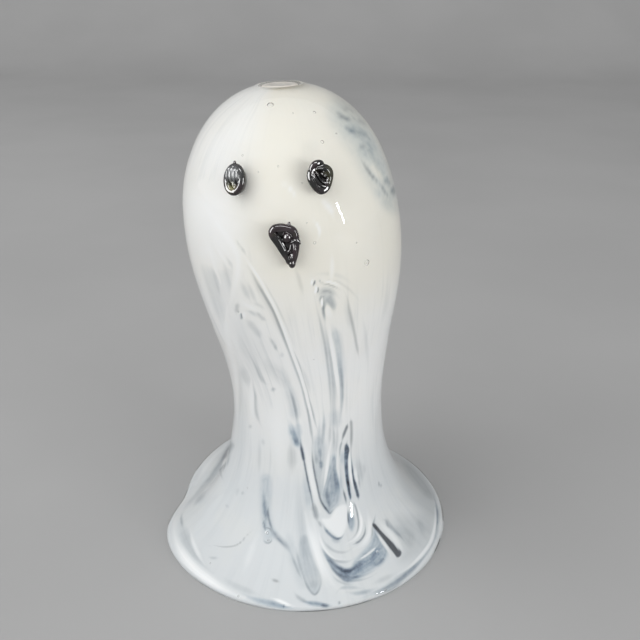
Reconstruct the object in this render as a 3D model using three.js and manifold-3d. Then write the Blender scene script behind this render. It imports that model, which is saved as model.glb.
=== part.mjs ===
// A blown-glass ghost: a domed head, a waist and a flared skirt, hollow and open underneath.
// Millimetres, +Z up, face towards -Y, standing on z = 0 with the middle of its box over the origin.
// The body is two gathers of glass, white opal inside and clear outside, and the clear one ends in
// the rounded lip of the foot. The eyes and the mouth are bits of black glass laid on hot.

import * as THREE from "three";
import { mergeVertices } from "three/addons/utils/BufferGeometryUtils.js";
import Module from "manifold-3d";

// Outer form
const height = 150; // to the top of the crown's curve
const headRadius = 32.9; // at the widest level of the head
const headRise = 44.6; // from the widest level of the head to the crown's top
const crownPower = 2.2; // 2 would be an ellipse, more is a squarer crown
const waistRadius = 24.8;
const waistLevel = 49.8;
const footRadius = 50; // to the outer edge of the lip
const flareCurve = 14.5; // catenary constant of the skirt, smaller is a later and sharper flare
const lipTilt = THREE.MathUtils.degToRad(28.5); // the wall's slope below the horizontal at the lip

// Lean of the axis
const crownLean = -5.4; // sideways offset of the crown, from a straight skirt below the waist
const skirtShift = 1.2; // sideways bulge of the skirt's axis
const shiftSpan = 76; // height over which it comes and goes

// Walls
const casingWall = 1.2; // clear glass on the body
const crownCasing = 3.2; // clear glass at the crown, where the gather is thickest
const opalWall = 1.8;
const glassGap = 0.3; // clearance between two glasses

// Lip of the foot
const clearEdge = 3; // clear glass in front of the opal's end
const lipFlat = 1.4; // width of the ring that the figure stands on

// Dent in the left of the skirt, and the curled brim behind it
const dentTurn = THREE.MathUtils.degToRad(-97.5); // from the front, to the right positive
const dentDepth = 5.5; // at the lip
const dentFrontWidth = THREE.MathUtils.degToRad(16.5);
const dentBackWidth = THREE.MathUtils.degToRad(24.5);
const dentTop = 38; // level where the dent has run out
const curlTurn = THREE.MathUtils.degToRad(-148);
const curlLift = 2.2;
const curlOut = 1.2;
const curlWidth = THREE.MathUtils.degToRad(16);
const curlTop = 25;

// Pontil scar on the crown
const scarRadius = 6.5; // to the crater's rim
const scarRim = 0.35; // rise of the rim over the crown's curve
const scarDepth = 1.3; // from the rim to the crater's floor
const scarWall = 1.1; // slope of the crater's wall, measured inwards
const scarGlass = 0.7; // thickness of the glass left in it, at its raised ring
const scarEdge = 0.4; // the same at its broken edge
const scarMiddle = 0.55; // the same at its middle
const scarRing = 1.5; // from its edge to the raised ring
const scarShift = -1.7; // sideways from the crown's middle
const scarShiftSpan = 9; // distance from the rim over which the crown has taken it up

// Face. Each bit has its place on the wall, as a turn from the front to the right and a roll, in
// degrees, and a drop below the crown's top. Points on a bit are across, up and out from the wall,
// from its middle.
const trailRadius = 1.05; // of the trail that the eyes are drawn from
const trailOut = 1.1; // the outer trail's middle over the wall
const padOut = 1.5; // the face of the glass inside it over the wall
const bitRoot = 1.5; // how far a bit reaches back to be trimmed by the wall
const foldRadius = 0.65; // of the folds inside a bit
const nubRadius = 0.5; // where the glass was snapped off

const leftEyePlace = { turn: -27.1, drop: 21.7, roll: 7 };
const leftEyeHalfWidth = 2.2; // of the oval that the trail follows
const leftEyeHalfHeight = 3.3;
const pleats = 4; // folds that hang side by side from the oval's top
const pleatSpacing = 0.95;
const pleatGather = 0.78; // spacing at a pleat's ends over the spacing at its crest
const pleatRadius = 0.58;
const pleatCrest = 1.4; // below the oval's top
const pleatEnd = 3.3; // below the oval's top
const pleatOut = { start: 1.35, crest: 1.8, end: 1.05 };
const leftEyeNub = 1.8; // rise over the oval's top

const rightEyePlace = { turn: 17.5, drop: 20.7, roll: 0 };
const rightEyeLine = [
  [0.3, 2.75],
  [2, 2.3],
  [2.7, 1.2],
  [2.4, -0.6],
  [1.4, -2.6],
  [0, -3.45],
  [-1.2, -2.75],
  [-2.4, -0.8],
  [-2.65, 1],
  [-1.6, 2.4],
];
const rightEyeLoop = [
  [-1.8, 1.6, 1.5],
  [-1.5, -0.3, 1.8],
  [-0.1, -2, 1.8],
  [1.4, -1.7, 1.5],
];
const rightEyeEnd = [
  [-2.4, 2.3, 1.2],
  [-0.8, 3.6, 1.5],
  [0.9, 3.5, 1.35],
];
const rightEyeLobe = { at: [1.4, 1.1, 1.05], width: 3, tall: 3.6, out: 1.35 };

const mouthPlace = { turn: -2.6, drop: 37.6, roll: 0 };
const mouthTrailRadius = 1.15;
const mouthLine = [
  [1.8, -4.9],
  [0.5, -3.2],
  [-1.6, 0.5],
  [-3.2, 3.1],
  [-2.8, 4.6],
  [-1.3, 5.1],
  [0.6, 4.9],
  [2.1, 4.4],
  [2.8, 3],
  [3.1, 0.1],
  [2.8, -3],
  [2.2, -4.9],
];
const mouthLeftFold = [
  [-2.4, 3.4, 1.5],
  [-0.8, 0.4, 2],
  [1, -3, 1.5],
];
const mouthRightFold = [
  [1.5, 0.4, 1.5],
  [2, -1.5, 2],
  [2, -3.8, 1.5],
];
const mouthBrokenEnd = [
  [2.4, 1, 1.2],
  [4.3, 1.6, 1.35],
];
const mouthNub = [
  [0.9, 5.2, 1.05],
  [1.3, 6.7, 1.05],
];
const mouthBlob = { at: [0.9, 2.7, 1.2], width: 3, tall: 3.4, out: 1.5 };
const mouthTip = { at: [1.95, -4.9, 0.9], width: 2.5, tall: 2.6, out: 1.2 };

// Fineness
const turns = 48; // facets around the body
const flareSteps = 9;
const neckSteps = 7;
const crownSteps = 8;
const lipSteps = 5;
const ringCrowding = 1.5; // above 1, the skirt's rings lie closer together near the lip
const trailSides = 7;
const foldSides = 6;
const tipShare = 0.15; // what a rope's tip has of its radius
const tipBluntness = 0.4; // lower is a blunter end

const clear = new THREE.MeshStandardMaterial({
  color: 0xdde6ec,
  roughness: 0.05,
  metalness: 0,
  transparent: true,
  opacity: 0.35,
});
const opal = new THREE.MeshStandardMaterial({ color: 0xe9e8e3, roughness: 0.12, metalness: 0 });
const black = new THREE.MeshStandardMaterial({ color: 0x1c191b, roughness: 0.06, metalness: 0 });

const wallThickness = casingWall + glassGap + opalWall;

// A smooth step from 0 to 1
function ease(t) {
  return 0.5 - 0.5 * Math.cos(Math.PI * THREE.MathUtils.clamp(t, 0, 1));
}

// The lip's section: a bead as thick as the wall, cut flat where it stands
const beadRadius = wallThickness / 2;
const beadCentre = new THREE.Vector2(
  footRadius - beadRadius,
  Math.sqrt(beadRadius ** 2 - (lipFlat / 2) ** 2),
);
const lipNormal = new THREE.Vector2(Math.sin(lipTilt), Math.cos(lipTilt));
const lipTop = beadCentre.clone().addScaledVector(lipNormal, beadRadius);

// The outer wall at a level, as a point in the (radius, height) plane and its outward normal
const flareReach = (lipTop.x - waistRadius) / (Math.cosh((waistLevel - lipTop.y) / flareCurve) - 1);
const headLevel = height - headRise;

function wallAt(level) {
  if (level > headLevel) {
    const t = Math.min((level - headLevel) / headRise, 1);
    const r = (1 - t ** crownPower) ** (1 / crownPower);
    const normal = new THREE.Vector2(
      r ** (crownPower - 1) / headRadius,
      t ** (crownPower - 1) / headRise,
    );
    return { point: new THREE.Vector2(headRadius * r, level), normal: normal.normalize() };
  }
  let radius;
  let slope;
  if (level > waistLevel) {
    const t = (level - waistLevel) / (headLevel - waistLevel);
    radius = waistRadius + (headRadius - waistRadius) * ease(t);
    slope = ((headRadius - waistRadius) * Math.PI * Math.sin(Math.PI * t)) / 2;
    slope /= headLevel - waistLevel;
  } else {
    const drop = (waistLevel - level) / flareCurve;
    radius = waistRadius + flareReach * (Math.cosh(drop) - 1);
    slope = (-flareReach * Math.sinh(drop)) / flareCurve;
  }
  return {
    point: new THREE.Vector2(radius, level),
    normal: new THREE.Vector2(1, -slope).normalize(),
  };
}

// The same, sunk into the wall by a depth
function inWall(level, depth) {
  const { point, normal } = wallAt(level);
  return point.addScaledVector(normal, -depth);
}

// The level where the crown has a radius
function crownLevelAt(radius) {
  return headLevel + headRise * (1 - (radius / headRadius) ** crownPower) ** (1 / crownPower);
}

// The crater on the crown
const scarLevel = crownLevelAt(scarRadius) + scarRim;
const scarFloor = scarLevel - scarDepth;

// The clear gather's thickness: even on the body, thicker towards the crown's top
function casingAt(level) {
  return casingWall + (crownCasing - casingWall) * ease((level - headLevel) / headRise);
}

// Levels of the rings from just above the start, up to the crown's top or its scar
function ringLevels(start, endRadius) {
  const levels = [start];
  for (let i = 1; i <= flareSteps; i += 1) {
    levels.push(lipTop.y + (waistLevel - lipTop.y) * (i / flareSteps) ** ringCrowding);
  }
  for (let i = 1; i <= neckSteps; i += 1) {
    levels.push(waistLevel + ((headLevel - waistLevel) * i) / neckSteps);
  }
  const lastTurn = Math.asin((crownLevelAt(endRadius) - headLevel) / headRise);
  for (let i = 1; i <= crownSteps; i += 1) {
    levels.push(headLevel + headRise * Math.sin((lastTurn * i) / crownSteps));
  }
  return levels;
}

// Sideways offset of the body's axis at a level
function leanAt(level) {
  const lean = crownLean * ease((level - waistLevel) / (height - waistLevel));
  return lean + skirtShift * Math.sin(Math.PI * THREE.MathUtils.clamp(level / shiftSpan, 0, 1));
}

function bell(offset, width) {
  return Math.exp(-((offset / width) ** 2));
}

// Slides a point near the crown's scar sideways, along the crown's curve
function slide(point) {
  const radius = Math.hypot(point.x, point.y);
  if (point.z < headLevel || radius > scarRadius + scarShiftSpan) {
    return;
  }
  point.x += scarShift * ease(1 - (radius - scarRadius) / scarShiftSpan);
  point.z += crownLevelAt(Math.hypot(point.x, point.y)) - crownLevelAt(radius);
}

// Bends a point of the turned body: the scar's place, the dent, the curled brim and the lean
function bend(point) {
  slide(point);
  const turn = Math.atan2(point.x, -point.y);
  const level = point.z;
  const around = (to) => Math.atan2(Math.sin(turn - to), Math.cos(turn - to));
  const offset = around(dentTurn);
  const width = offset > 0 ? dentFrontWidth : dentBackWidth;
  const dent = dentDepth * bell(offset, width) * ease(1 - level / dentTop);
  const curl = bell(around(curlTurn), curlWidth) * ease(1 - level / curlTop);
  const radius = Math.hypot(point.x, point.y) + curl * curlOut - dent;
  const lean = leanAt(level);
  point.x = lean + radius * Math.sin(turn);
  point.y = -radius * Math.cos(turn);
  point.z = level + curl * curlLift;
  return point;
}

// Turns a closed section about the body's axis and bends it
function turned(section) {
  const geometry = new THREE.LatheGeometry(section, turns);
  geometry.rotateX(Math.PI / 2);
  const position = geometry.getAttribute("position");
  const point = new THREE.Vector3();
  for (let i = 0; i < position.count; i += 1) {
    bend(point.fromBufferAttribute(position, i));
    position.setXYZ(i, point.x, point.y, point.z);
  }
  geometry.computeVertexNormals();
  return geometry;
}

// Levels just above the lip where the opal ends, and where the clear glass closes under it
const opalEnd = lipTop.y + (clearEdge - beadRadius) * Math.sin(lipTilt);
const casingEnd = opalEnd - glassGap * Math.sin(lipTilt);

function opalGeometry() {
  const levels = ringLevels(opalEnd, 0);
  const outer = levels.map((level) => inWall(level, casingAt(level) + glassGap));
  const inner = levels.map((level) => inWall(level, casingAt(level) + glassGap + opalWall));
  return turned([...inner.reverse(), ...outer]);
}

function casingGeometry() {
  const under = ringLevels(casingEnd, 0).map((level) => inWall(level, casingAt(level)));
  const lip = [inWall(casingEnd, wallThickness)];
  lip.push(beadCentre.clone().addScaledVector(lipNormal, -beadRadius));
  lip.push(new THREE.Vector2(beadCentre.x - lipFlat / 2, 0));
  const from = Math.atan2(-beadCentre.y, lipFlat / 2);
  const to = Math.PI / 2 - lipTilt;
  for (let i = 0; i < lipSteps; i += 1) {
    const a = from + ((to - from) * i) / lipSteps;
    const along = new THREE.Vector2(Math.cos(a), Math.sin(a));
    lip.push(beadCentre.clone().addScaledVector(along, beadRadius));
  }
  const outer = ringLevels(lipTop.y, scarRadius + scarWall).map((level) => inWall(level, 0));
  const crater = [
    new THREE.Vector2(scarRadius, scarLevel),
    new THREE.Vector2(scarRadius - scarWall, scarFloor),
    new THREE.Vector2(0, scarFloor),
  ];
  return turned([...under.reverse(), ...lip, ...outer, ...crater]);
}

// The punty's glass, a thin crowned disc with a broken edge
function scarGeometry() {
  const edge = scarRadius - scarWall - glassGap;
  const base = scarFloor + glassGap;
  return turned([
    new THREE.Vector2(0, base),
    new THREE.Vector2(edge, base),
    new THREE.Vector2(edge, base + scarEdge),
    new THREE.Vector2(edge - scarRing, base + scarGlass),
    new THREE.Vector2(0, base + scarMiddle),
  ]);
}

const wasm = await Module();
wasm.setup();

function toSolid(geometry) {
  const bare = geometry.clone();
  bare.deleteAttribute("normal");
  bare.deleteAttribute("uv");
  const merged = mergeVertices(bare, 1e-4);
  const vertProperties = merged.getAttribute("position").array;
  const triVerts = new Uint32Array(merged.index.array);
  return new wasm.Manifold(new wasm.Mesh({ numProp: 3, vertProperties, triVerts }));
}

function toGeometry(solid) {
  const mesh = solid.getMesh();
  const geometry = new THREE.BufferGeometry();
  geometry.setAttribute("position", new THREE.BufferAttribute(mesh.vertProperties, 3));
  geometry.setIndex(new THREE.BufferAttribute(mesh.triVerts, 1));
  geometry.computeVertexNormals();
  return geometry;
}

// The body's outer form, grown by the clearance, which trims the underside of what is laid on it
function grownBody() {
  const outer = ringLevels(lipTop.y, 0).map((level) => inWall(level, -glassGap));
  return turned([new THREE.Vector2(0, lipTop.y), ...outer]);
}

// A rope of glass along a curve, round in section. An open one tapers to its ends.
function rope(curve, radius, { steps, sides = foldSides, closed = false }) {
  const frames = curve.computeFrenetFrames(steps, closed);
  const rings = closed ? steps : steps + 1;
  const vertices = [];
  for (let i = 0; i < rings; i += 1) {
    const t = i / steps;
    const centre = curve.getPointAt(t);
    const taper = closed ? 1 : Math.max(Math.sin(Math.PI * t), 0) ** tipBluntness + tipShare;
    for (let j = 0; j < sides; j += 1) {
      const a = (2 * Math.PI * j) / sides;
      const vertex = centre.clone();
      vertex.addScaledVector(frames.normals[i], Math.cos(a) * radius * taper);
      vertex.addScaledVector(frames.binormals[i], Math.sin(a) * radius * taper);
      vertices.push(...vertex);
    }
  }
  const index = [];
  const spans = closed ? rings : rings - 1;
  for (let i = 0; i < spans; i += 1) {
    for (let j = 0; j < sides; j += 1) {
      const a = i * sides + j;
      const b = i * sides + ((j + 1) % sides);
      const c = ((i + 1) % rings) * sides + j;
      const d = ((i + 1) % rings) * sides + ((j + 1) % sides);
      index.push(a, b, c, b, d, c);
    }
  }
  if (!closed) {
    const first = vertices.length / 3;
    vertices.push(...curve.getPointAt(0), ...curve.getPointAt(1));
    const last = (rings - 1) * sides;
    for (let j = 0; j < sides; j += 1) {
      const next = (j + 1) % sides;
      index.push(first, next, j, first + 1, last + j, last + next);
    }
  }
  const geometry = new THREE.BufferGeometry();
  geometry.setAttribute("position", new THREE.Float32BufferAttribute(vertices, 3));
  geometry.setIndex(index);
  return toSolid(geometry);
}

// A lump of glass, an ellipsoid at a place of the bit's own frame
function lump({ at, width, tall, out }) {
  const geometry = new THREE.SphereGeometry(1, 12, 8);
  geometry.scale(width / 2, tall / 2, out);
  geometry.translate(...at);
  return toSolid(geometry);
}

// A curve through points of the bit's own frame: across, up and out from the wall
function path(points, closed = false) {
  const placed = points.map((point) => new THREE.Vector3(...point));
  return new THREE.CatmullRomCurve3(placed, closed, "centripetal");
}

// A bit's outer trail along a line, and the pad of glass inside it
function outerTrail(line, radius, steps, closed) {
  const laid = line.map(([across, up]) => [across, up, trailOut]);
  const middle = path(laid, closed);
  const inside = middle.getSpacedPoints(steps).map(({ x, y }) => new THREE.Vector2(x, y));
  const pad = new THREE.ExtrudeGeometry(new THREE.Shape(inside), {
    depth: bitRoot + padOut,
    bevelEnabled: false,
  });
  pad.translate(0, 0, -bitRoot);
  return rope(middle, radius, { steps, sides: trailSides, closed }).add(toSolid(pad));
}

// Joins the lumps and ropes of a bit, sets it on the wall and trims it to the wall's form
function bit(name, parts, place) {
  const turn = THREE.MathUtils.degToRad(place.turn);
  const roll = THREE.MathUtils.degToRad(place.roll);
  const { point, normal } = wallAt(height - place.drop);
  const seat = bend(
    new THREE.Vector3(point.x * Math.sin(turn), -point.x * Math.cos(turn), point.y),
  );
  const outward = new THREE.Vector3(
    normal.x * Math.sin(turn),
    -normal.x * Math.cos(turn),
    normal.y,
  );
  const across = new THREE.Vector3(Math.cos(turn), Math.sin(turn), 0).applyAxisAngle(outward, roll);
  const upward = new THREE.Vector3().crossVectors(outward, across);
  const stand = new THREE.Matrix4().makeBasis(across, upward, outward).setPosition(seat);
  const wall = toSolid(body.clone().applyMatrix4(stand.clone().invert()));
  const joined = parts.reduce((whole, next) => whole.add(next));
  const mesh = new THREE.Mesh(toGeometry(joined.subtract(wall)), black);
  mesh.applyMatrix4(stand);
  mesh.name = name;
  return mesh;
}

const body = grownBody();

// The left eye: an oval trail whose upper half is filled by pleats, with a snapped nub on top
function leftEye() {
  const oval = new THREE.EllipseCurve(0, 0, leftEyeHalfWidth, leftEyeHalfHeight);
  const line = oval.getPoints(10).slice(0, -1);
  const top = leftEyeHalfHeight;
  const parts = [outerTrail(line.map(({ x, y }) => [x, y]), trailRadius, 20, true)];
  for (let i = 0; i < pleats; i += 1) {
    const across = (i - (pleats - 1) / 2) * pleatSpacing;
    const pleat = [
      [across * pleatGather, top, pleatOut.start],
      [across, top - pleatCrest, pleatOut.crest],
      [across * pleatGather, top - pleatEnd, pleatOut.end],
    ];
    parts.push(rope(path(pleat), pleatRadius, { steps: 6 }));
  }
  const nub = [
    [0, top, trailOut],
    [0, top + leftEyeNub, trailOut],
  ];
  parts.push(rope(path(nub), nubRadius, { steps: 4 }));
  return bit("left_eye", parts, leftEyePlace);
}

// The right eye: a looped trail, wide at the upper right, with its end laid over the top left
function rightEye() {
  const parts = [
    outerTrail(rightEyeLine, trailRadius, 20, true),
    rope(path(rightEyeLoop), foldRadius, { steps: 9 }),
    rope(path(rightEyeEnd), trailRadius, { steps: 8, sides: trailSides }),
    lump(rightEyeLobe),
  ];
  return bit("right_eye", parts, rightEyePlace);
}

// The mouth: a trail drawn down to a point on the right, with folds inside and one end broken off
function mouth() {
  const parts = [
    outerTrail(mouthLine, mouthTrailRadius, 26, false),
    lump(mouthTip),
    lump(mouthBlob),
    rope(path(mouthLeftFold), foldRadius, { steps: 7 }),
    rope(path(mouthRightFold), foldRadius, { steps: 7 }),
    rope(path(mouthBrokenEnd), foldRadius, { steps: 4 }),
    rope(path(mouthNub), nubRadius, { steps: 4 }),
  ];
  return bit("mouth", parts, mouthPlace);
}

const ghost = new THREE.Group();
ghost.name = "ghost";

function addShell(name, geometry, material) {
  const mesh = new THREE.Mesh(geometry, material);
  mesh.name = name;
  ghost.add(mesh);
}

addShell("opal_core", opalGeometry(), opal);
addShell("clear_casing", casingGeometry(), clear);
addShell("pontil_scar", scarGeometry(), clear.clone());
ghost.add(leftEye(), rightEye(), mouth());

// The dent makes the foot's box lopsided, so the figure is set with its box over the origin
const middle = new THREE.Box3().setFromObject(ghost).getCenter(new THREE.Vector3());
ghost.position.set(-middle.x, -middle.y, 0);

export default ghost;
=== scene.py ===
# A blown-glass ghost: white opal glass under clear glass, with black glass eyes and mouth.
# Everything is in metres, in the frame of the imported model: +Z up, face towards -Y.

import math

import bpy
import numpy as np
from mathutils import Matrix, Vector
from mathutils.bvhtree import BVHTree


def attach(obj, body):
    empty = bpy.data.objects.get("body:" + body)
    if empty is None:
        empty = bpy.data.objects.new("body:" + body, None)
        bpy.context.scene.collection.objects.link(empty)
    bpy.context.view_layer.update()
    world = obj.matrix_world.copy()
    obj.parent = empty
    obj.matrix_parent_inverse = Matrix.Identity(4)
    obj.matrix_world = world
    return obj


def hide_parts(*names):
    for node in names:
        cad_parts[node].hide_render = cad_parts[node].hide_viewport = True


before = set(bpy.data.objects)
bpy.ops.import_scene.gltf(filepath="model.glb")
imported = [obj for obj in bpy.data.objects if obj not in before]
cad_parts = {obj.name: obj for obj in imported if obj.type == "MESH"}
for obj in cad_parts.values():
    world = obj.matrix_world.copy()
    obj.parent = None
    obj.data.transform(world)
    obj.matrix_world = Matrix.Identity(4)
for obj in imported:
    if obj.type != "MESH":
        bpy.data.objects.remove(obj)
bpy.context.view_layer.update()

MM = 0.001
BODY = "root"

# The body's outer form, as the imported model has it

HEIGHT = 150 * MM
HEAD_RADIUS = 32.9 * MM
HEAD_RISE = 44.6 * MM
CROWN_POWER = 2.2
WAIST_RADIUS = 24.8 * MM
WAIST_LEVEL = 49.8 * MM
FOOT_RADIUS = 49.91 * MM
FLARE_CURVE = 14.5 * MM
LIP_TILT = math.radians(28.5)

AXIS = np.array([-1.28, 0, 0]) * MM  # the foot's middle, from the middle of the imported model's box
CROWN_LEAN = -5.4 * MM
SKIRT_SHIFT = 1.2 * MM
SHIFT_SPAN = 76 * MM

CASING_WALL = 1.2 * MM
CROWN_CASING = 3.2 * MM
OPAL_WALL = 1.8 * MM
GLASS_GAP = 0.3 * MM
CLEAR_EDGE = 3 * MM
LIP_FLAT = 1.4 * MM

# Waves of the hand-worked wall: height in mm, number round the body, level in mm to a radian, phase.
# They fade over two distances from the foot and two from the top.

WAVES = [(0.10, 3, 17, 0), (0.08, 5, -11, 1.3), (0.05, 9, 8, 0.4), (0.03, 14, -5, 2.1)]
WAVES_FROM_FOOT = (6 * MM, 20 * MM)
WAVES_FROM_TOP = (8 * MM, 20 * MM)

DENT_TURN = math.radians(-97.5)
DENT_DEPTH = 5.5 * MM
DENT_FRONT_WIDTH = math.radians(16.5)
DENT_BACK_WIDTH = math.radians(24.5)
DENT_TOP = 38 * MM
CURL_TURN = math.radians(-148)
CURL_LIFT = 2.2 * MM
CURL_OUT = 1.2 * MM
CURL_WIDTH = math.radians(16)
CURL_TOP = 25 * MM

SCAR_RADIUS = 6.5 * MM
SCAR_RIM = 0.35 * MM
SCAR_DEPTH = 1.3 * MM
SCAR_WALL = 1.1 * MM
SCAR_GLASS = 1.3 * MM
SCAR_EDGE = 1.15 * MM
SCAR_RING = 1.5 * MM
SCAR_SHIFT = -1.7 * MM
SCAR_SHIFT_SPAN = 9 * MM

FUSED = 0.15 * MM  # how far one glass reaches into the next where they are fused
END_THINNED = 0.4 * MM
END_REACH = 1.25 * MM  # how far the white glass reaches into the lip

# Where the white glass ends in the clear lip: it draws back on the right

OPAL_DRAWN_BACK = 0.2 * MM
DRAWN_BACK_TURN = math.radians(62)
DRAWN_BACK_WIDTH = math.radians(45)
DRAWN_BACK_SPAN = 7 * MM
END_RIPPLES = [(0.06, 7, 0), (0.04, 17, 1)]  # height in mm, number round the body, phase

WALL = CASING_WALL + GLASS_GAP + OPAL_WALL
BEAD_RADIUS = WALL / 2
BEAD_CENTRE = np.array([FOOT_RADIUS - BEAD_RADIUS, math.sqrt(BEAD_RADIUS**2 - (LIP_FLAT / 2) ** 2)])
LIP_NORMAL = np.array([math.sin(LIP_TILT), math.cos(LIP_TILT)])
LIP_ALONG = np.array([math.cos(LIP_TILT), -math.sin(LIP_TILT)])
LIP_TOP = BEAD_CENTRE + LIP_NORMAL * BEAD_RADIUS
FLARE_REACH = (LIP_TOP[0] - WAIST_RADIUS) / (math.cosh((WAIST_LEVEL - LIP_TOP[1]) / FLARE_CURVE) - 1)
HEAD_LEVEL = HEIGHT - HEAD_RISE
OPAL_END = LIP_TOP[1] + (CLEAR_EDGE - BEAD_RADIUS) * math.sin(LIP_TILT)

# Fineness of the meshes. Zones of turns are (from, to, count) in degrees, with the face at 0.

OPAL_TURNS = [(-70, -25, 46), (-25, 46, 148), (46, 92, 50), (92, 290, 54)]
CLEAR_TURNS = [(-70, 70, 150), (70, 290, 86)]
OPAL_RINGS = 312
OPAL_INNER_RINGS = 14
CLEAR_RINGS = 190
CLEAR_UNDER_RINGS = 110
LIP_STEPS = 24
LEVELS_TRIED = 2000  # along each part of the wall, before rings are spaced out
ROUNDINGS = 3
ON_AXIS = 1e-7
RING_SPACINGS = ([0, 28, 40, 108, 122, 150], [0.34, 0.34, 0.5, 0.55, 1.3, 1.3])  # by level, in mm


def ease(t):
    """A smooth step from 0 to 1."""
    return 0.5 - 0.5 * np.cos(np.pi * np.clip(t, 0, 1))


def rise(value, start, end):
    """A smooth step from 0 at one value to 1 at another."""
    return ease((value - start) / (end - start))


def bell(offset, width):
    """A smooth peak of height 1 about an offset of 0."""
    return np.exp(-((offset / width) ** 2))


def around(turn, to):
    """The turn measured from another one, between a half turn each way."""
    return np.arctan2(np.sin(turn - to), np.cos(turn - to))


def circled(radius, turn, level):
    """Points at a radius and a turn round the axis, the face at 0, and a level."""
    return np.stack([radius * np.sin(turn), -radius * np.cos(turn), level], -1)


def crown_level(radius):
    share = np.clip(radius / HEAD_RADIUS, 0, 1)
    return HEAD_LEVEL + HEAD_RISE * (1 - share**CROWN_POWER) ** (1 / CROWN_POWER)


SCAR_LEVEL = crown_level(SCAR_RADIUS) + SCAR_RIM
SCAR_FLOOR = SCAR_LEVEL - SCAR_DEPTH


def wall_at(level):
    """Points (radius, level) of the turned outer wall at some levels, and their outward normals."""
    level = np.asarray(level, float)
    t = np.clip((level - HEAD_LEVEL) / HEAD_RISE, 0, 1)
    share = (1 - t**CROWN_POWER) ** (1 / CROWN_POWER)
    crown_normal = [share ** (CROWN_POWER - 1) / HEAD_RADIUS, t ** (CROWN_POWER - 1) / HEAD_RISE]
    u = np.clip((level - WAIST_LEVEL) / (HEAD_LEVEL - WAIST_LEVEL), 0, 1)
    widening = HEAD_RADIUS - WAIST_RADIUS
    neck = WAIST_RADIUS + widening * ease(u)
    neck_slope = widening * np.pi * np.sin(np.pi * u) / 2 / (HEAD_LEVEL - WAIST_LEVEL)
    drop = np.clip((WAIST_LEVEL - level) / FLARE_CURVE, 0, None)
    flare = WAIST_RADIUS + FLARE_REACH * (np.cosh(drop) - 1)
    flare_slope = -FLARE_REACH * np.sinh(drop) / FLARE_CURVE
    in_crown = level > HEAD_LEVEL
    in_neck = level > WAIST_LEVEL
    radius = np.where(in_crown, HEAD_RADIUS * share, np.where(in_neck, neck, flare))
    across = np.where(in_crown, crown_normal[0], 1.0)
    upward = np.where(in_crown, crown_normal[1], -np.where(in_neck, neck_slope, flare_slope))
    length = np.hypot(across, upward)
    return np.stack([radius, level], -1), np.stack([across / length, upward / length], -1)


def casing_at(level):
    return CASING_WALL + (CROWN_CASING - CASING_WALL) * ease((level - HEAD_LEVEL) / HEAD_RISE)


def in_wall(level, depth):
    point, normal = wall_at(level)
    section = point - normal * np.asarray(depth)[..., None]
    section[..., 0] = np.maximum(section[..., 0], 0)
    return section


def ring_levels(start, end_radius, count, spacings=([0], [1])):
    """Levels of rings from start to where the crown has a radius, spaced in step with spacings."""
    low = np.linspace(start, HEAD_LEVEL, LEVELS_TRIED)
    last = math.asin((crown_level(end_radius) - HEAD_LEVEL) / HEAD_RISE)
    high = HEAD_LEVEL + HEAD_RISE * np.sin(np.linspace(0, last, LEVELS_TRIED)[1:])
    fine = np.concatenate([low, high])
    steps = np.hypot(*np.diff(wall_at(fine)[0], axis=0).T)
    steps = steps / np.interp(fine[1:] / MM, *spacings)
    length = np.concatenate([[0], np.cumsum(steps)])
    return np.interp(np.linspace(0, length[-1], count), length, fine)


def waviness(turn, level):
    """How far the hand-worked wall stands proud of its turned form."""
    waves = sum(tall * np.sin(number * turn + level / (pitch * MM) + phase)
                for tall, number, pitch, phase in WAVES)
    return waves * MM * rise(level, *WAVES_FROM_FOOT) * rise(HEIGHT - level, *WAVES_FROM_TOP)


def bend(points):
    """Moves points of the turned body to their places: scar, dent, curled brim, waves and lean."""
    x, y, level = np.array(points, float).T
    radius = np.hypot(x, y)
    near = (level > HEAD_LEVEL) & (radius <= SCAR_RADIUS + SCAR_SHIFT_SPAN)
    x = x + np.where(near, SCAR_SHIFT * ease(1 - (radius - SCAR_RADIUS) / SCAR_SHIFT_SPAN), 0)
    shifted = np.hypot(x, y)
    level = level + np.where(near, crown_level(shifted) - crown_level(radius), 0)
    turn = np.arctan2(x, -y)
    offset = around(turn, DENT_TURN)
    width = np.where(offset > 0, DENT_FRONT_WIDTH, DENT_BACK_WIDTH)
    dent = DENT_DEPTH * bell(offset, width) * ease(1 - level / DENT_TOP)
    curl = bell(around(turn, CURL_TURN), CURL_WIDTH) * ease(1 - level / CURL_TOP)
    radius = shifted + curl * CURL_OUT - dent + waviness(turn, level)
    lean = CROWN_LEAN * ease((level - WAIST_LEVEL) / (HEIGHT - WAIST_LEVEL))
    lean = lean + SKIRT_SHIFT * np.sin(np.pi * np.clip(level / SHIFT_SPAN, 0, 1))
    bent = circled(radius, turn, level + curl * CURL_LIFT) + AXIS
    bent[:, 0] += lean
    return bent


def turns_of(zones):
    return np.radians(np.concatenate([np.linspace(a, b, n, endpoint=False) for a, b, n in zones]))


def mesh_object(name, points, faces):
    mesh = bpy.data.meshes.new(name)
    mesh.from_pydata([tuple(p) for p in points], [], faces)
    mesh.update()
    mesh.shade_smooth()
    piece = bpy.data.objects.new(name, mesh)
    bpy.context.scene.collection.objects.link(piece)
    return piece


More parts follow.
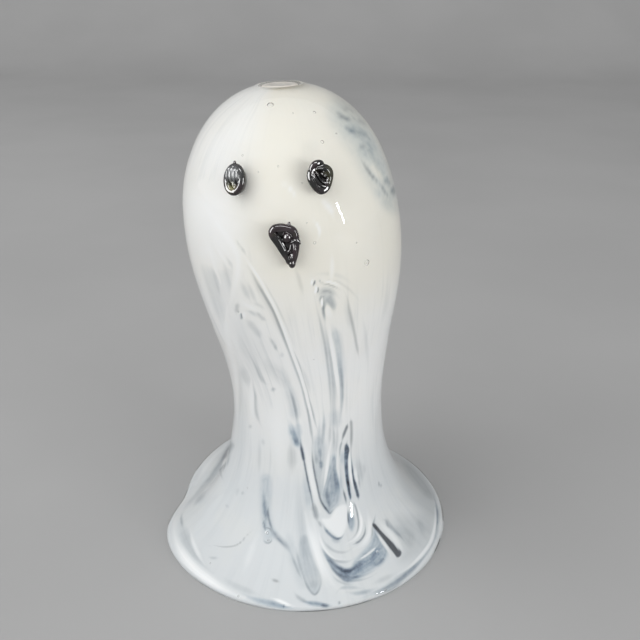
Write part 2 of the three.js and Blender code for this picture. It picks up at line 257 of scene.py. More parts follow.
def turned(name, section, turns, shaped=None):
    """Turns a section, which runs from axis to axis with the glass on its left, into a closed body."""
    count = len(turns)
    points = []
    rows = []
    for radius, level in section:
        first = len(points)
        if radius < ON_AXIS:
            points.append((0, 0, level))
            rows.append([first] * count)
        else:
            points.extend(circled(radius, turns, np.full(count, level)))
            rows.append(list(range(first, first + count)))
    faces = []
    for lower, upper in zip(rows, rows[1:]):
        for j in range(count):
            k = (j + 1) % count
            corners = (lower[j], lower[k], upper[k], upper[j])
            if lower[j] == lower[k]:
                corners = (lower[j], upper[k], upper[j])
            elif upper[j] == upper[k]:
                corners = (lower[j], lower[k], upper[j])
            faces.append(corners)
    points = np.array(points, float)
    if shaped:
        points = shaped(points)
    return mesh_object(name, bend(points), faces), points


def dress(piece, material, node=None):
    """Sets a piece on the body with its material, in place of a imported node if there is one."""
    piece.data.materials.clear()
    piece.data.materials.append(material)
    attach(piece, BODY)
    if node:
        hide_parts(node)


# The glass bodies


def rounded(line):
    """Cuts the corners of an open line again and again, so that it becomes a curve."""
    for _ in range(ROUNDINGS):
        first = line[:-1] * 0.75 + line[1:] * 0.25
        second = line[:-1] * 0.25 + line[1:] * 0.75
        cut = np.stack([first, second], 1).reshape(-1, 2)[1:-1]
        line = np.concatenate([line[:1], cut, line[-1:]])
    return line


def opal_section():
    """Inner wall from the crown down, round the end in the lip, and the outer wall up."""
    end = LIP_TOP[1] + FUSED
    inner = ring_levels(end, 0, OPAL_INNER_RINGS)[::-1]
    outer = ring_levels(end, 0, OPAL_RINGS, RING_SPACINGS)
    thinned = END_THINNED * ease(1 - (inner - OPAL_END) / DRAWN_BACK_SPAN)
    inside = in_wall(inner, casing_at(inner) + GLASS_GAP + OPAL_WALL - thinned)
    outside = in_wall(outer, casing_at(outer) + GLASS_GAP - FUSED)
    middle = (inside[-1] + outside[0]) / 2
    half = np.hypot(*(outside[0] - middle))
    angles = np.linspace(0, np.pi, LIP_STEPS // 2)[1:-1, None]
    end_round = middle - half * np.cos(angles) * LIP_NORMAL + END_REACH * np.sin(angles) * LIP_ALONG
    return np.concatenate([inside, end_round, outside])


def draw_back(points):
    """Draws the end of the white glass back from the lip where the clear edge is wide."""
    x, y, level = points.T
    turn = np.arctan2(x, -y)
    radius = np.hypot(x, y)
    gone = (radius - LIP_TOP[0]) * LIP_ALONG[0] + (level - LIP_TOP[1]) * LIP_ALONG[1]
    share = ease(1 + gone / DRAWN_BACK_SPAN) * (level < HEAD_LEVEL)
    back = OPAL_DRAWN_BACK * bell(around(turn, DRAWN_BACK_TURN), DRAWN_BACK_WIDTH)
    for tall, number, phase in END_RIPPLES:
        back = back + tall * MM * (1 + np.sin(number * turn + phase))
    back = back * share
    return circled(radius - back * LIP_ALONG[0], turn, level - back * LIP_ALONG[1])


def casing_section():
    """Under the clear glass from the crown down, round the lip, up the outer wall and into the crater."""
    end = OPAL_END - GLASS_GAP * math.sin(LIP_TILT)
    under = ring_levels(end, 0, CLEAR_UNDER_RINGS)[::-1]
    under = in_wall(under, casing_at(under) + GLASS_GAP)
    closing = in_wall(np.array([end]), np.array([WALL]))
    low = math.atan2(-BEAD_CENTRE[1], LIP_FLAT / 2)
    angles = np.concatenate([np.linspace(-math.pi / 2 - LIP_TILT, -math.pi - low, LIP_STEPS // 2),
                             np.linspace(low, math.pi / 2 - LIP_TILT, LIP_STEPS)[:-1]])
    lip = BEAD_CENTRE + BEAD_RADIUS * np.stack([np.cos(angles), np.sin(angles)], -1)
    wall = wall_at(ring_levels(LIP_TOP[1], SCAR_RADIUS + SCAR_WALL, CLEAR_RINGS))[0]
    crater = np.array([wall[-1], [SCAR_RADIUS, SCAR_LEVEL], [SCAR_RADIUS - SCAR_WALL, SCAR_FLOOR],
                       [SCAR_RADIUS - 2 * SCAR_WALL, SCAR_FLOOR], [0, SCAR_FLOOR]])
    return np.concatenate([under, closing, lip, wall[:-1], rounded(crater)])


opal, opal_points = turned("opal_gather", opal_section(), turns_of(OPAL_TURNS), draw_back)
casing, _ = turned("clear_gather", casing_section(), turns_of(CLEAR_TURNS))


def tree_of(piece):
    mesh = piece.data
    return BVHTree.FromPolygons([v.co for v in mesh.vertices], [p.vertices for p in mesh.polygons])


casing_tree = tree_of(casing)
opal_tree = tree_of(opal)

# Camera at the photograph's place. A place in the photograph is a pixel of its 640 by 640 frame.

FRAME_PIXELS = 640
FOCAL_PIXELS = 800
SENSOR = 36
CLIP_START = 10 * MM
CAMERA_AT = AXIS + np.array([0, -235.06, 182.51]) * MM
CAMERA_PITCH = math.radians(24.42)
CAMERA_ROLL = math.radians(-0.61)
CAMERA_YAW = math.radians(1.229)
HIDING_GAP = 1.5 * MM  # a surface nearer than this in front of a point doesn't hide it


def camera_axes():
    """Rightward, downward and forward directions of the camera."""
    forward = np.array([math.sin(CAMERA_YAW) * math.cos(CAMERA_PITCH),
                        math.cos(CAMERA_YAW) * math.cos(CAMERA_PITCH), -math.sin(CAMERA_PITCH)])
    right = np.array([math.cos(CAMERA_YAW), -math.sin(CAMERA_YAW), 0])
    down = np.cross(forward, right)
    cos, sin = math.cos(CAMERA_ROLL), math.sin(CAMERA_ROLL)
    return cos * right + sin * down, cos * down - sin * right, forward


RIGHT, DOWN, FORWARD = camera_axes()


def make_camera():
    data = bpy.data.cameras.new("camera")
    data.sensor_width = SENSOR
    data.lens = SENSOR * FOCAL_PIXELS / FRAME_PIXELS
    data.clip_start = CLIP_START
    camera = bpy.data.objects.new("camera", data)
    bpy.context.scene.collection.objects.link(camera)
    axes = Matrix([RIGHT, -DOWN, -FORWARD]).transposed()
    camera.matrix_world = Matrix.Translation(CAMERA_AT) @ axes.to_4x4()
    bpy.context.scene.camera = camera


make_camera()


def pixels_of(points):
    """Pixels of the photograph where points are seen, and the pixels to a metre there."""
    away = points - CAMERA_AT
    depth = away @ FORWARD
    spot = FRAME_PIXELS / 2 + FOCAL_PIXELS * np.stack([away @ RIGHT, away @ DOWN], -1) / depth[:, None]
    return spot, FOCAL_PIXELS / depth


def facing(points, normals, tree):
    """How much each point of a surface faces the camera, and whether nothing hides it."""
    away = points - CAMERA_AT
    length = np.linalg.norm(away, axis=1)
    away = away / length[:, None]
    turned_to = -(away * normals).sum(1)
    open_to = turned_to > 0
    for i in np.flatnonzero(open_to):
        distance = tree.ray_cast(CAMERA_AT, away[i])[3]
        open_to[i] = distance is not None and distance > length[i] - HIDING_GAP
    return turned_to, open_to


# Marks in the opal glass, where it is thinner and the dark hollow behind shows, or thicker and whiter.
# Some marks are painted light instead, as noted where they stand: painted shade, painted highlights
# and glints, and painted shade where the clear lip shows dark through it.
# Each is a line or a pool with a name, a level, a width in millimetres, and the places that it goes
# through, which are pixels of the photograph. A level runs from 0, full opal, to 1, no opal, and is
# below 0 where whiter. Blue runs from 0, grey, to 1.

MARKS = {}


def line(name, level, width, *spots, soft=0.85, blue=0.3, ends=(0.4, 0.4)):
    """The width is half of the whole. Soft runs from 0, a hard edge, to 1, and ends taper."""
    MARKS[name] = (spots, False, width, level, soft, blue, ends)


def pool(name, level, edge, *spots, blue=0.5):
    """A closed patch, whose edge fades over a width in millimetres each way."""
    MARKS[name] = (spots, True, edge, level, 1, blue, (0, 0))


# The head's right: a blue wash with wisps
pool("wash", 0.2, 2.8, (333, 101), (345, 99), (356, 106), (366, 118), (376, 133), (384, 148), (391, 162),
     (397, 178), (400, 196), (398, 212), (387, 207), (377, 194), (368, 181), (360, 167), (352, 153),
     (343, 140), (335, 128), (329, 112), blue=0.9)
line("wash core", 0.1, 2.2, (343, 118), (351, 124), (359, 132), (366, 141), (372, 151), (378, 163),
     (384, 176), soft=1, blue=1)
# Painted shade along the crown's right edge.
pool("brow shade", 0.14, 2, (330, 92), (344, 95), (358, 107), (370, 122), (364, 124), (352, 114),
     (340, 105), blue=0)
line("wisp 1", 0.32, 0.55, (335, 111), (340, 114.6), (345, 117.6), (350, 119), (355, 118.8), soft=1,
     ends=(0.3, 0.3))
line("wisp 1 end", 0.2, 0.5, (353, 118.6), (358, 119.4), (362, 121.6), (367, 126), soft=1)
line("wisp 2", 0.16, 0.5, (340, 109), (346, 108.6), (353, 109.6), soft=1, blue=0)
line("wisp 3", 0.3, 0.6, (341, 125), (346, 128), (351, 130.4), (356, 131.2), (361, 132), (366, 135),
     (371, 139.4), soft=1, blue=0.7, ends=(0.25, 0.3))
line("wisp 3 cloud", 0.1, 1.5, (348, 124), (355, 127), (363, 130), soft=1, blue=1)
line("wisp 4", 0.16, 0.5, (357, 147), (362, 145.6), (369, 146.6), soft=1)
line("blue cloud 1", 0.12, 1.8, (366, 136), (370, 147), (374, 158), soft=1, blue=1)
line("blue cloud 2", 0.14, 1.3, (376, 160), (381, 168), (385, 175), soft=1, blue=1)
line("crease 1", 0.4, 0.42, (360, 157), (364, 163.6), (368, 170), (371, 174.4), (375, 178.6), (379, 182),
     soft=1, blue=0.2, ends=(0.5, 0.2))
line("crease 2", 0.38, 0.36, (377, 180), (380, 184), (383, 188), (386, 193), (389, 196.5), (391, 199),
     blue=0.5)
line("crease white", -0.15, 0.8, (366, 160), (373, 167), (380, 176), (386, 184), soft=1)
line("dark patch 1", 0.42, 0.9, (384, 178), (387.5, 180.5), (391, 179.5), soft=1, blue=0.6)
line("dark patch 2", 0.5, 1, (393, 184), (394, 190), (393.5, 196.5), soft=1, blue=0.5)
line("faint 1", 0.12, 1.2, (378, 197), (386, 204), (392, 213), soft=1, blue=0.7)
line("faint 2", 0.14, 0.9, (374, 189), (382, 197), soft=1, blue=0.9)

# The head's left: whiter, with long soft flow lines
pool("white cheek", -0.4, 4, (189, 196), (205, 190), (222, 197), (232, 212), (238, 232), (234, 256),
     (216, 262), (198, 250), (188, 222))
pool("grey flank", 0.07, 3, (204, 216), (214, 226), (224, 240), (233, 256), (236, 272), (230, 292),
     (224, 312), (214, 296), (206, 270), (202, 240), blue=0.3)
pool("grey field", 0.05, 3, (236, 318), (252, 330), (268, 348), (262, 372), (248, 384), (238, 366),
     (234, 338), blue=0.3)
line("flank 1", 0.16, 0.55, (207, 196), (210, 201), (213, 207), (216, 213), soft=1, ends=(0.5, 0.5))
line("flank 2", 0.2, 0.3, (215.6, 217), (219, 222), (223, 227.6), (228, 234), soft=1, ends=(0.3, 0.3))
line("flank 3", 0.13, 0.9, (206, 226), (209, 236), (213, 245), (217, 252), (221, 259), (226, 266),
     (232, 274), soft=1, ends=(0.2, 0.3))
line("flank 4", 0.2, 0.32, (209, 240), (212.6, 247), (217, 254), (222, 261), soft=1, ends=(0.3, 0.4))
line("flank 5", 0.27, 0.42, (219, 246), (223, 252), (227, 258), (230.6, 264), (233, 270), soft=1,
     ends=(0.5, 0.3))
line("flank 6", 0.11, 1.1, (203, 256), (208, 268), (212, 282), (215.6, 296), (221, 314), (226, 332), soft=1,
     ends=(0.3, 0.3))
line("flank 7", 0.15, 0.4, (211, 264), (215, 276), (218, 288), (220, 300), soft=1)
line("flank 8", 0.13, 0.55, (222, 262), (226, 273), (229, 284), (229, 296), soft=1)
line("flank 9", 0.09, 0.5, (194, 244), (200, 262), (206, 280), (212, 298), (219, 318), (226, 338), soft=1)
line("flank white 1", -0.45, 0.7, (199, 198), (206, 207), (213, 216), (219, 225), (225, 234), (231, 243),
     (236, 252), (238, 262), (237, 276), (234, 290), (230, 304), soft=1, ends=(0.3, 0.3))
line("flank white 2", -0.4, 0.25, (214, 244), (220, 253), (225, 261), (229, 268), soft=1)
line("flank white 3", -0.35, 0.5, (227, 306), (226.6, 322), (227, 336), (229, 350), (233, 366), (236, 382),
     (237, 400), soft=1, ends=(0.3, 0.4))
line("flank white 4", -0.35, 0.3, (206, 240), (211, 256), (216, 270), (221, 284), soft=1)
line("neck edge", 0.12, 0.5, (236, 356), (239, 372), (240.4, 390), (240, 408), (238, 428), soft=1, blue=0.1)
line("tick 1", 0.28, 0.55, (237.6, 302), (237, 308), (236.4, 314), blue=0.1, ends=(0.3, 0.3))
line("tick 2", 0.66, 0.24, (240.8, 313), (242, 319.6), ends=(0.2, 0.2))
line("tick 2 white", -0.8, 0.4, (243.4, 311), (244.6, 319))
line("short 1", 0.2, 0.4, (246, 310.6), (250, 311.6), (254, 314), (257.6, 317.6), soft=1)
line("short 2", 0.26, 0.42, (255, 311.6), (259, 315), (262.6, 318.6), (267, 320.6), soft=1, ends=(0.3, 0.3))
line("short 3", 0.2, 0.7, (245, 319), (250, 323.6), (254.6, 329), (259, 334.6), (262.6, 340), soft=1,
     ends=(0.3, 0.3))
line("short 4", 0.26, 0.4, (268, 336), (271.6, 341), (275, 346), (278, 352), soft=1)
line("short 5", 0.2, 0.6, (240, 280), (243.6, 288), (247, 295), (251, 302), soft=1)
line("short 6", 0.17, 0.5, (246, 280), (250, 289), (254, 298), (258.6, 306), soft=1)
line("short 7", 0.12, 0.35, (250, 303), (256, 304), (262, 307), (267, 311), soft=1)
line("short 8", 0.08, 0.7, (236, 330), (241, 344), (248, 357), (254, 368), soft=1)
line("short white", -0.5, 0.4, (240, 300), (246, 305), (253, 308.4), (260, 311), soft=1)

# The long lines from the left cheek down to the front of the neck

line("long head", 0.3, 0.4, (231, 232), (235, 238), (239, 244.6), (243.6, 251), (247, 257), soft=1,
     ends=(0.5, 0.3))
line("long left shade", 0.22, 0.85, (247, 266), (251, 272), (255, 279), (259.6, 287), (264, 294.6),
     (269, 303.6), (274, 313), (279, 324), (284, 335), (288, 345), (292, 356), soft=1, blue=0.1,
     ends=(0.3, 0.3))
line("long left", 0.34, 0.36, (248, 266), (253, 275), (258, 284.6), (264, 294.6), (270, 305), (275, 315),
     (280, 328), (284.6, 340), (289, 351), (293, 362), (296, 370), (299, 378), (302, 387), (304, 395),
     (306, 404), (308, 412), (309.5, 420), (311, 430), (312.5, 440), (313, 449), ends=(0.2, 0.1))
line("long right", 0.16, 0.36, (248, 259), (255, 270), (262, 281), (269, 292.6), (276, 305), (283, 319),
     (289.6, 334), (293, 345))
line("long right low", 0.36, 0.3, (288, 337), (291, 346), (294, 353), (297, 360), (300, 368), (302, 376),
     (304.5, 384), (307, 392), (309, 400), (311.5, 408), (314, 418), (316.5, 427), (318.5, 434),
     ends=(0.3, 0.2))
line("long right side", 0.14, 0.5, (300, 362), (304, 373), (308, 385), (311, 398), soft=1)
line("long white", -0.65, 0.32, (240, 250), (246, 259), (252, 267.6), (258, 276.6), (263, 285),
     (268, 294.6), (273, 303.6), (278, 314.6), (283, 327), (288, 340.6), (292, 352), (296, 362), (300, 373),
     (303, 383), (306, 393), (308, 402), (310.5, 412), (313, 423), (315, 434), ends=(0.15, 0.2))
line("under mouth", 0.15, 0.5, (294, 266), (298, 276), (301, 286), (304, 298), soft=1, blue=0)

# The front of the neck, left of the long lines
pool("cloud", 0.13, 1.3, (266, 360), (274, 364), (284, 370), (290, 381), (284, 386), (274, 378), (267, 370),
     blue=0.3)
line("neck 1", 0.22, 0.5, (250, 356), (256, 367), (260, 376), (264, 382), (269, 385.6), soft=1,
     ends=(0.6, 0.3))
line("neck 2", 0.3, 0.6, (273, 387), (273.5, 392))
line("neck 3", 0.18, 0.9, (240, 363), (244, 375), (248, 383), (250, 389), soft=1)
line("neck 4", 0.28, 0.45, (252, 378), (253.6, 387), (255, 396), (255.4, 405), (256.6, 414), (259, 421),
     (262, 428), soft=1, ends=(0.4, 0.3))
line("neck 4 white", -0.4, 0.5, (251, 380), (251.5, 395), (252, 410), (253.5, 420))
line("neck 5", 0.13, 1.5, (242, 372), (243, 400), (242, 430), (241, 455), (238, 478), soft=1)
line("neck 6", 0.22, 1.4, (281, 372), (286, 383), (290, 393), (293, 402), (295, 411), (296.6, 424), soft=1,
     blue=0.6, ends=(0.5, 0.2))
line("neck 6 edge", 0.26, 0.4, (288, 386), (292, 396), (294.5, 405), (296.5, 415), (298, 426))
line("neck 7", 0.14, 0.5, (281, 352), (283, 358))
line("neck 8", 0.2, 0.35, (274, 345), (277, 351))
line("neck 9", 0.18, 0.5, (250, 424), (250.5, 429))
line("neck 10", 0.12, 0.5, (259, 435), (259.5, 455), (259, 478))
line("neck 11", 0.12, 0.5, (262, 438), (264, 446))
line("neck white", -0.25, 1.8, (276, 392), (277, 420), (279, 450), (281, 480), soft=1)
line("blue wedge", 0.44, 1.15, (289, 421), (292, 429), (294.5, 436), (297, 442), (298.5, 449), soft=0.8,
     blue=0.95, ends=(0.4, 0.2))
line("blue wedge core", 0.42, 0.55, (293, 432), (295.4, 439), (298, 447), soft=1, blue=0.8)
line("blue wedge side", 0.22, 0.8, (297, 420), (299, 430), (301, 440), soft=1, blue=0.9)
line("green shade", 0.24, 1.2, (290.6, 440), (292, 456), (292.4, 474), soft=1, blue=0.1)
line("seam dark", 0.85, 0.45, (300.4, 440), (301.2, 446), (302.2, 452), (303.6, 459), (305, 465), soft=0.8,
     blue=0.5, ends=(0.4, 0.3))
line("seam", 0.68, 0.32, (303.5, 458), (305, 466), (306.6, 474), (308.2, 482), (310, 490), (311.6, 498),
     (313, 506), (315, 514), (317.5, 522), soft=0.9, blue=0.4, ends=(0.1, 0.6))
line("seam low", 0.42, 0.85, (312.5, 500), (314.5, 509), (316, 516), (318, 522), soft=0.8, blue=0.2,
     ends=(0.4, 0.3))
line("seam wash", 0.22, 1.1, (304, 470), (306, 485), (308, 500), (308, 516), soft=1, blue=0.8)
line("seam white", -0.45, 0.75, (305, 445), (308, 458), (310.5, 472), (313.5, 488), (316.5, 500),
     (320, 512), soft=0.9)

# The nested arches at the top of the loop
line("arch 1", 0.34, 0.3, (316, 284.6), (320, 283.4), (326, 283.4), (331, 285), (336, 287.4), (341, 290.5),
     blue=0.1)
line("arch 2", 0.12, 0.3, (318, 280.8), (328, 280), (338, 282), (346, 287), (352, 292), (358, 299),
     (362, 305), blue=0.1)
line("arch 3", 0.08, 0.5, (310, 276), (325, 273.5), (342, 277), (355, 286))
line("arch 4", 0.26, 0.8, (317, 297), (320.5, 292), (327, 290), (333, 292.5), (339, 298), soft=0.9,
     blue=0.4)
line("arch 4 line", 0.22, 0.28, (319, 293.5), (327, 291), (334, 294))
line("arch white", -0.7, 0.25, (318, 282.2), (326, 281.6), (335, 283.6), (343, 288))
# Two seeds drawn as marks: painted glints beside them and painted shade along their dark edges.
line("bubble tick 1", 0.66, 0.24, (315, 280.6), (314.4, 283), (312.6, 285.4), ends=(0.2, 0.2))
line("bubble 1 glint", -1, 0.24, (311.6, 285), (311.8, 281.6), (313.4, 279.6), ends=(0.2, 0.2))
line("bubble dot", -0.8, 0.2, (318, 281.4), (319, 283))
line("bubble dot rim", 0.34, 0.18, (317, 280.4), (319.4, 280.2), (320.4, 282.6))
line("bubble tick 2", 0.6, 0.24, (317.6, 286.6), (318, 290), (316.8, 293.4), ends=(0.2, 0.2))
line("bubble 2 glint", -1, 0.28, (315.4, 285.6), (316.2, 289), (314.8, 294), ends=(0.2, 0.2))
line("core right", 0.24, 1.15, (325.5, 296.5), (329, 300), (331.5, 306), (334.5, 313), soft=0.9, blue=0.5,
     ends=(0.2, 0.4))
line("core left", 0.3, 0.4, (320, 304), (321, 298), (325, 295.5))
pool("core", 0.24, 0.8, (321, 294), (331, 292.6), (335, 301), (334.6, 309), (330, 306), (326, 306),
     (323, 313), (320.8, 303))
line("core inner", 0.42, 0.42, (324.2, 298), (323.7, 305), (324, 314), (325.5, 324), blue=0.4)
line("core white", -1, 0.24, (322, 297), (321.8, 302), (322, 308), soft=0.5)
line("core white 2", -0.4, 0.7, (327, 303), (328.5, 311), (331, 320), soft=0.9)

# Down the loop's two sides
line("left leg outer", 0.2, 0.34, (313, 291), (316, 304), (319, 317), (322, 330), (325, 345), (327, 360),
     (329, 376), (330.3, 395), (330.7, 412), (330.4, 426))
line("left leg second", 0.12, 0.4, (317, 309), (320, 321), (323, 335), (326, 351), (328.5, 369))
line("left leg band", 0.24, 1.05, (321.5, 318), (325.5, 335), (329, 352), (331.5, 369), (333, 388),
     (333.3, 405), (333, 424), soft=0.9, blue=0.45)
line("left leg fine", 0.12, 0.28, (323, 314), (325.5, 328), (328, 343), (330.6, 358), (332, 373),
     (332.6, 391))
line("white line", -0.95, 0.42, (328.5, 322), (330.6, 338), (333, 352), (335.2, 366), (337.4, 382),
     (338.6, 395), (338.8, 405), soft=0.7)
line("teal band top", 0.26, 1.15, (332, 325), (335.5, 334), (338, 345), (339.4, 357), (340.4, 370),
     (341.4, 384), (341.6, 398), soft=0.9, blue=0.7, ends=(0.15, 0.4))
line("teal band", 0.24, 0.55, (336, 345), (339, 358), (341, 372), (342.2, 388), (342, 402), (340.5, 415),
     (339, 426), soft=0.8, blue=0.6)
line("teal line", 0.16, 0.25, (340, 362), (341.6, 378), (342.8, 393), (342.2, 404), (341, 416))
line("right leg", 0.3, 0.38, (343.5, 290.5), (346, 295), (348, 301), (349.4, 309), (351, 317), (353, 326),
     (355, 336), (357, 347), (359, 358), blue=0.1, ends=(0.4, 0.15))
line("right leg soft", 0.13, 0.8, (344.5, 298), (347.5, 310), (350, 322), (353.6, 336), soft=1)
line("right far", 0.11, 0.5, (362, 315), (365, 330), (367, 350), (368.5, 372))
line("inner shade", 0.2, 1.5, (334, 405), (335, 418), (336, 432), soft=1, blue=0.5)

# Inside the loop: fine lines, and the pointed pool that they run into
line("thread 1", 0.3, 0.5, (323.5, 411), (324, 422), (323, 435), (322, 450), blue=0.5)
line("thread 2", 0.2, 0.4, (330, 420), (330, 432), (329, 448))
line("thread 3", 0.24, 0.35, (332.5, 424), (334, 436), (333.5, 452))
line("thread 4", 0.18, 0.5, (319, 420), (319, 436), (318, 450), blue=0.6)
line("thread 5", 0.18, 0.4, (337.5, 424), (337, 440), (335, 458))
line("inner left", 0.56, 0.34, (311.8, 446), (312.4, 457), (313.5, 467), (315, 476), (317, 485),
     (318.7, 493), (321, 501), (325, 508), (329.4, 513), soft=0.8, ends=(0.3, 0.1))
pool("left zone", 0.24, 1.2, (313.6, 442), (319, 436), (325, 444), (325, 460), (322, 478), (321, 494),
     (317.6, 487), (315, 474), (313.6, 460), blue=0.6)
line("spot 1", 0.42, 0.5, (320.4, 458), (321, 464), (321.2, 471), soft=1, blue=0.7)
line("spot 3", 0.28, 0.5, (319, 446), (320, 453), (320.4, 460), soft=1, blue=0.7)
line("mottle 1", 0.22, 0.5, (316, 452), (317, 466), blue=0.5)
line("white thread 1", -0.6, 0.36, (331, 442), (328.5, 456), (327, 468), (325, 481), (322.5, 493))
line("white thread 2", -0.5, 0.36, (340.5, 443), (338.6, 454), (337.6, 465), (339, 479), (341, 492))
pool("pointed pool", 0.34, 1.1, (333, 456), (337.5, 460), (339.6, 474), (340.6, 490), (338.4, 503),
     (333.5, 508.5), (329.4, 513), (325, 507.5), (321.6, 498), (323, 484), (328, 468), blue=0.8)
line("pool dark 1", 0.24, 1, (334.6, 466), (335.6, 478), (335, 489), (333.6, 500), soft=1, blue=0.7)
line("pool dark 2", 0.36, 0.6, (327.5, 484), (327, 494), (329, 504), (329.5, 511), soft=0.9, blue=0.6)
line("pool rim", 0.5, 0.3, (320.4, 498), (323.6, 505), (326.8, 509.6), (329.6, 513.4), (332.5, 510.5),
     (336, 507.5), blue=0.4)
line("blue haze", 0.2, 0.9, (337, 470), (338.5, 484), (339, 497), soft=1, blue=1)
line("leaf", 0.62, 0.42, (348, 423), (346.4, 428), (344.4, 433), (342.7, 438), (341.3, 443.5), soft=0.7,
     blue=0.15, ends=(0.2, 0.5))
line("leaf tail", 0.42, 0.3, (342, 441), (340.3, 447), (339.2, 453), (338.2, 461), (338, 470),
     ends=(0.1, 0.6))
line("shaft top", 0.42, 0.42, (350.8, 418.5), (351.3, 424), (351.6, 432), (351.2, 445), (351, 456),
     blue=0.1, ends=(0.1, 0.5))
line("shaft", 0.8, 0.48, (351, 452), (351.2, 463), (352.2, 472), (354, 480), (356, 488), (357.6, 494),
     (358.8, 500), soft=0.6, blue=0.6, ends=(0.4, 0.1))
line("shaft white", -0.8, 0.36, (349.4, 446), (349.6, 458), (350.3, 470), (351.8, 482), (353.8, 493),
     soft=0.8)
line("shaft white 2", -0.5, 0.5, (354.5, 466), (356, 476), (358.5, 486))
line("spear halo", 0.22, 0.6, (342, 448), (342.4, 458), (343.4, 468), soft=1, blue=1)
line("spear top", 0.6, 0.5, (347.2, 441), (346.2, 446), (346, 451), soft=0.9, blue=0.2, ends=(0.6, 0.1))
pool("spear", 0.82, 0.3, (346.2, 444), (348.8, 447), (349.2, 452), (348, 460), (348, 468), (348.8, 478),
     (350, 488), (351.4, 497), (350, 499.6), (347.8, 491), (346, 481), (344.9, 471), (344.2, 461),
     (344.4, 451), blue=0.85)
line("spear tip", 0.5, 0.36, (347.8, 445), (348.4, 450), (347.4, 456), soft=0.9, blue=0.2)
line("spear low", 0.6, 0.34, (347.2, 474), (348.4, 484), (350.2, 496), soft=0.9, blue=0.4)
line("spear light", -0.12, 0.4, (345, 452), (345.2, 462), (346.5, 472), soft=1)
line("thorn", 0.6, 0.3, (342.7, 487), (344.3, 494), (345.8, 500), (346.4, 506))
line("flank right 1", 0.22, 0.9, (357, 455), (360, 470), (362, 486), soft=1)
line("flank right 2", 0.26, 0.35, (357, 470), (359, 483), (361, 490))
line("flank right 3", 0.12, 0.4, (364, 462), (365, 475))
line("dash 1", 0.36, 0.24, (378.6, 480.5), (379.4, 487.5))
line("dash 2", 0.3, 0.24, (381, 483), (381, 488))

# The white tongue and the nested cups under it
# Painted sheen: a whiter, warm patch beside the skirt's highlight.
pool("cream sheen", -0.5, 0.5, (322, 519), (330, 518), (336, 509), (343, 505), (347, 507), (347, 518),
     (346, 527), (342, 535), (338, 536.5), (331, 531), (325, 525))
line("cup 1", 0.6, 0.42, (322.6, 524), (326, 530), (329, 533.6), (333, 536.8), (337, 538.6), (341, 537.5),
     (344.5, 533.5), soft=0.8, blue=0.7, ends=(0.3, 0.3))
line("cup 1 glow", 0.24, 0.6, (330, 537), (336, 541), (342, 540), soft=1, blue=0.5)
pool("dark drop", 0.42, 0.7, (348.5, 514), (352, 513), (354, 518), (354, 525), (352, 531), (349.5, 528),
     (348, 520), blue=0.9)
line("dark drop rim", 0.6, 0.28, (347.5, 506), (348, 514), (348.4, 521), (350, 528))
line("shadow line", 0.42, 0.3, (353, 501), (356, 508), (357.6, 515), (358.6, 523), (357.4, 531),
     (353.6, 537), (348.6, 541), ends=(0.1, 0.5))
line("white ring 1", -0.7, 0.4, (356, 503), (359.4, 512), (361.4, 522), (360, 532), (355, 539),
     (347, 543.5))
line("cup 2", 0.5, 0.34, (364.6, 522), (365.4, 528), (364.6, 534), (361.6, 539), (357.6, 542.4),
     (352.4, 544.8), soft=0.7, ends=(0.5, 0.2))
line("cup 3", 0.24, 0.4, (321, 535), (325, 543), (331, 549), (338, 552), (346, 552), (353, 548))
line("cup 4", 0.28, 0.45, (319, 541), (323, 550), (330, 557), (339, 561.5), (348, 561.5), (356, 557.5),
     blue=0.4)
line("white ring 2", -0.5, 0.85, (367, 510), (369.4, 520), (370, 530), (367.6, 538), (362, 545),
     (354, 549.5), soft=0.8)
line("white ring 3", -0.5, 0.3, (318, 528), (321, 541), (327, 552), (335, 558.5), (345, 559.4))
pool("blue bay", 0.4, 0.9, (373.4, 528), (378, 533), (383, 540), (382, 547), (377, 552), (370, 557),
     (362, 562), (353, 565), (358, 557), (364.6, 550), (369.6, 544), (372.4, 536), blue=0.95)
line("bay shade", 0.24, 0.5, (374, 529), (378, 536), (378, 543), soft=1, blue=0.8)
pool("blue crescent", 0.42, 1, (376, 549), (384.6, 545), (388, 553), (383, 562), (375, 568.6), (366, 574),
     (357, 579), (348, 581.6), (340.6, 577), (333.2, 569), (326.4, 559.6), (321.4, 549.4), (326, 556),
     (333, 563), (341, 568.4), (348, 569.6), (355, 566), (362, 561.2), (370, 556), blue=0.95)
pool("crescent heart", 0.24, 0.8, (352, 569), (360, 563.4), (369, 558), (377, 551.4), (380, 554),
     (374, 561.6), (364, 568.4), (355, 573.4), (346, 575.6), (340, 573), blue=0.95)
line("crescent dark", 0.52, 0.62, (319.6, 543), (322, 549), (325.4, 555), (331, 561.4), (337, 566.6),
     (344, 570), (350.4, 569.4), (356.6, 565.6), (362, 561), (367, 556.6), soft=1, blue=0.7,
     ends=(0.3, 0.5))
line("crescent core", 0.3, 0.4, (331, 561.6), (337, 567), (344, 571), (351, 570.4), (357.4, 565.6),
     soft=0.9, blue=0.6, ends=(0.4, 0.3))
pool("crescent deep", 0.28, 1, (339, 567), (348, 570), (354, 566), (361, 561), (362, 564), (355, 570),
     (347, 573.6), (340, 572), blue=0.85)
line("crescent light", -0.5, 0.26, (356, 561.6), (362, 558), (368, 554), (373, 550), (377, 546), soft=0.9,
     ends=(0.4, 0.2))
line("crescent low 1", 0.4, 0.4, (323, 552), (327.6, 560.4), (333.6, 569.4), (340, 576.6), (345.6, 580.6),
     (352, 580.8), (360, 580), (369.6, 577.4), (377, 573), soft=0.9, blue=0.5, ends=(0.4, 0.5))
line("crescent low 2", 0.38, 0.45, (326, 559), (332, 568), (340, 575), (350, 577.6), (362, 576), (374, 571),
     soft=0.9, blue=0.6)
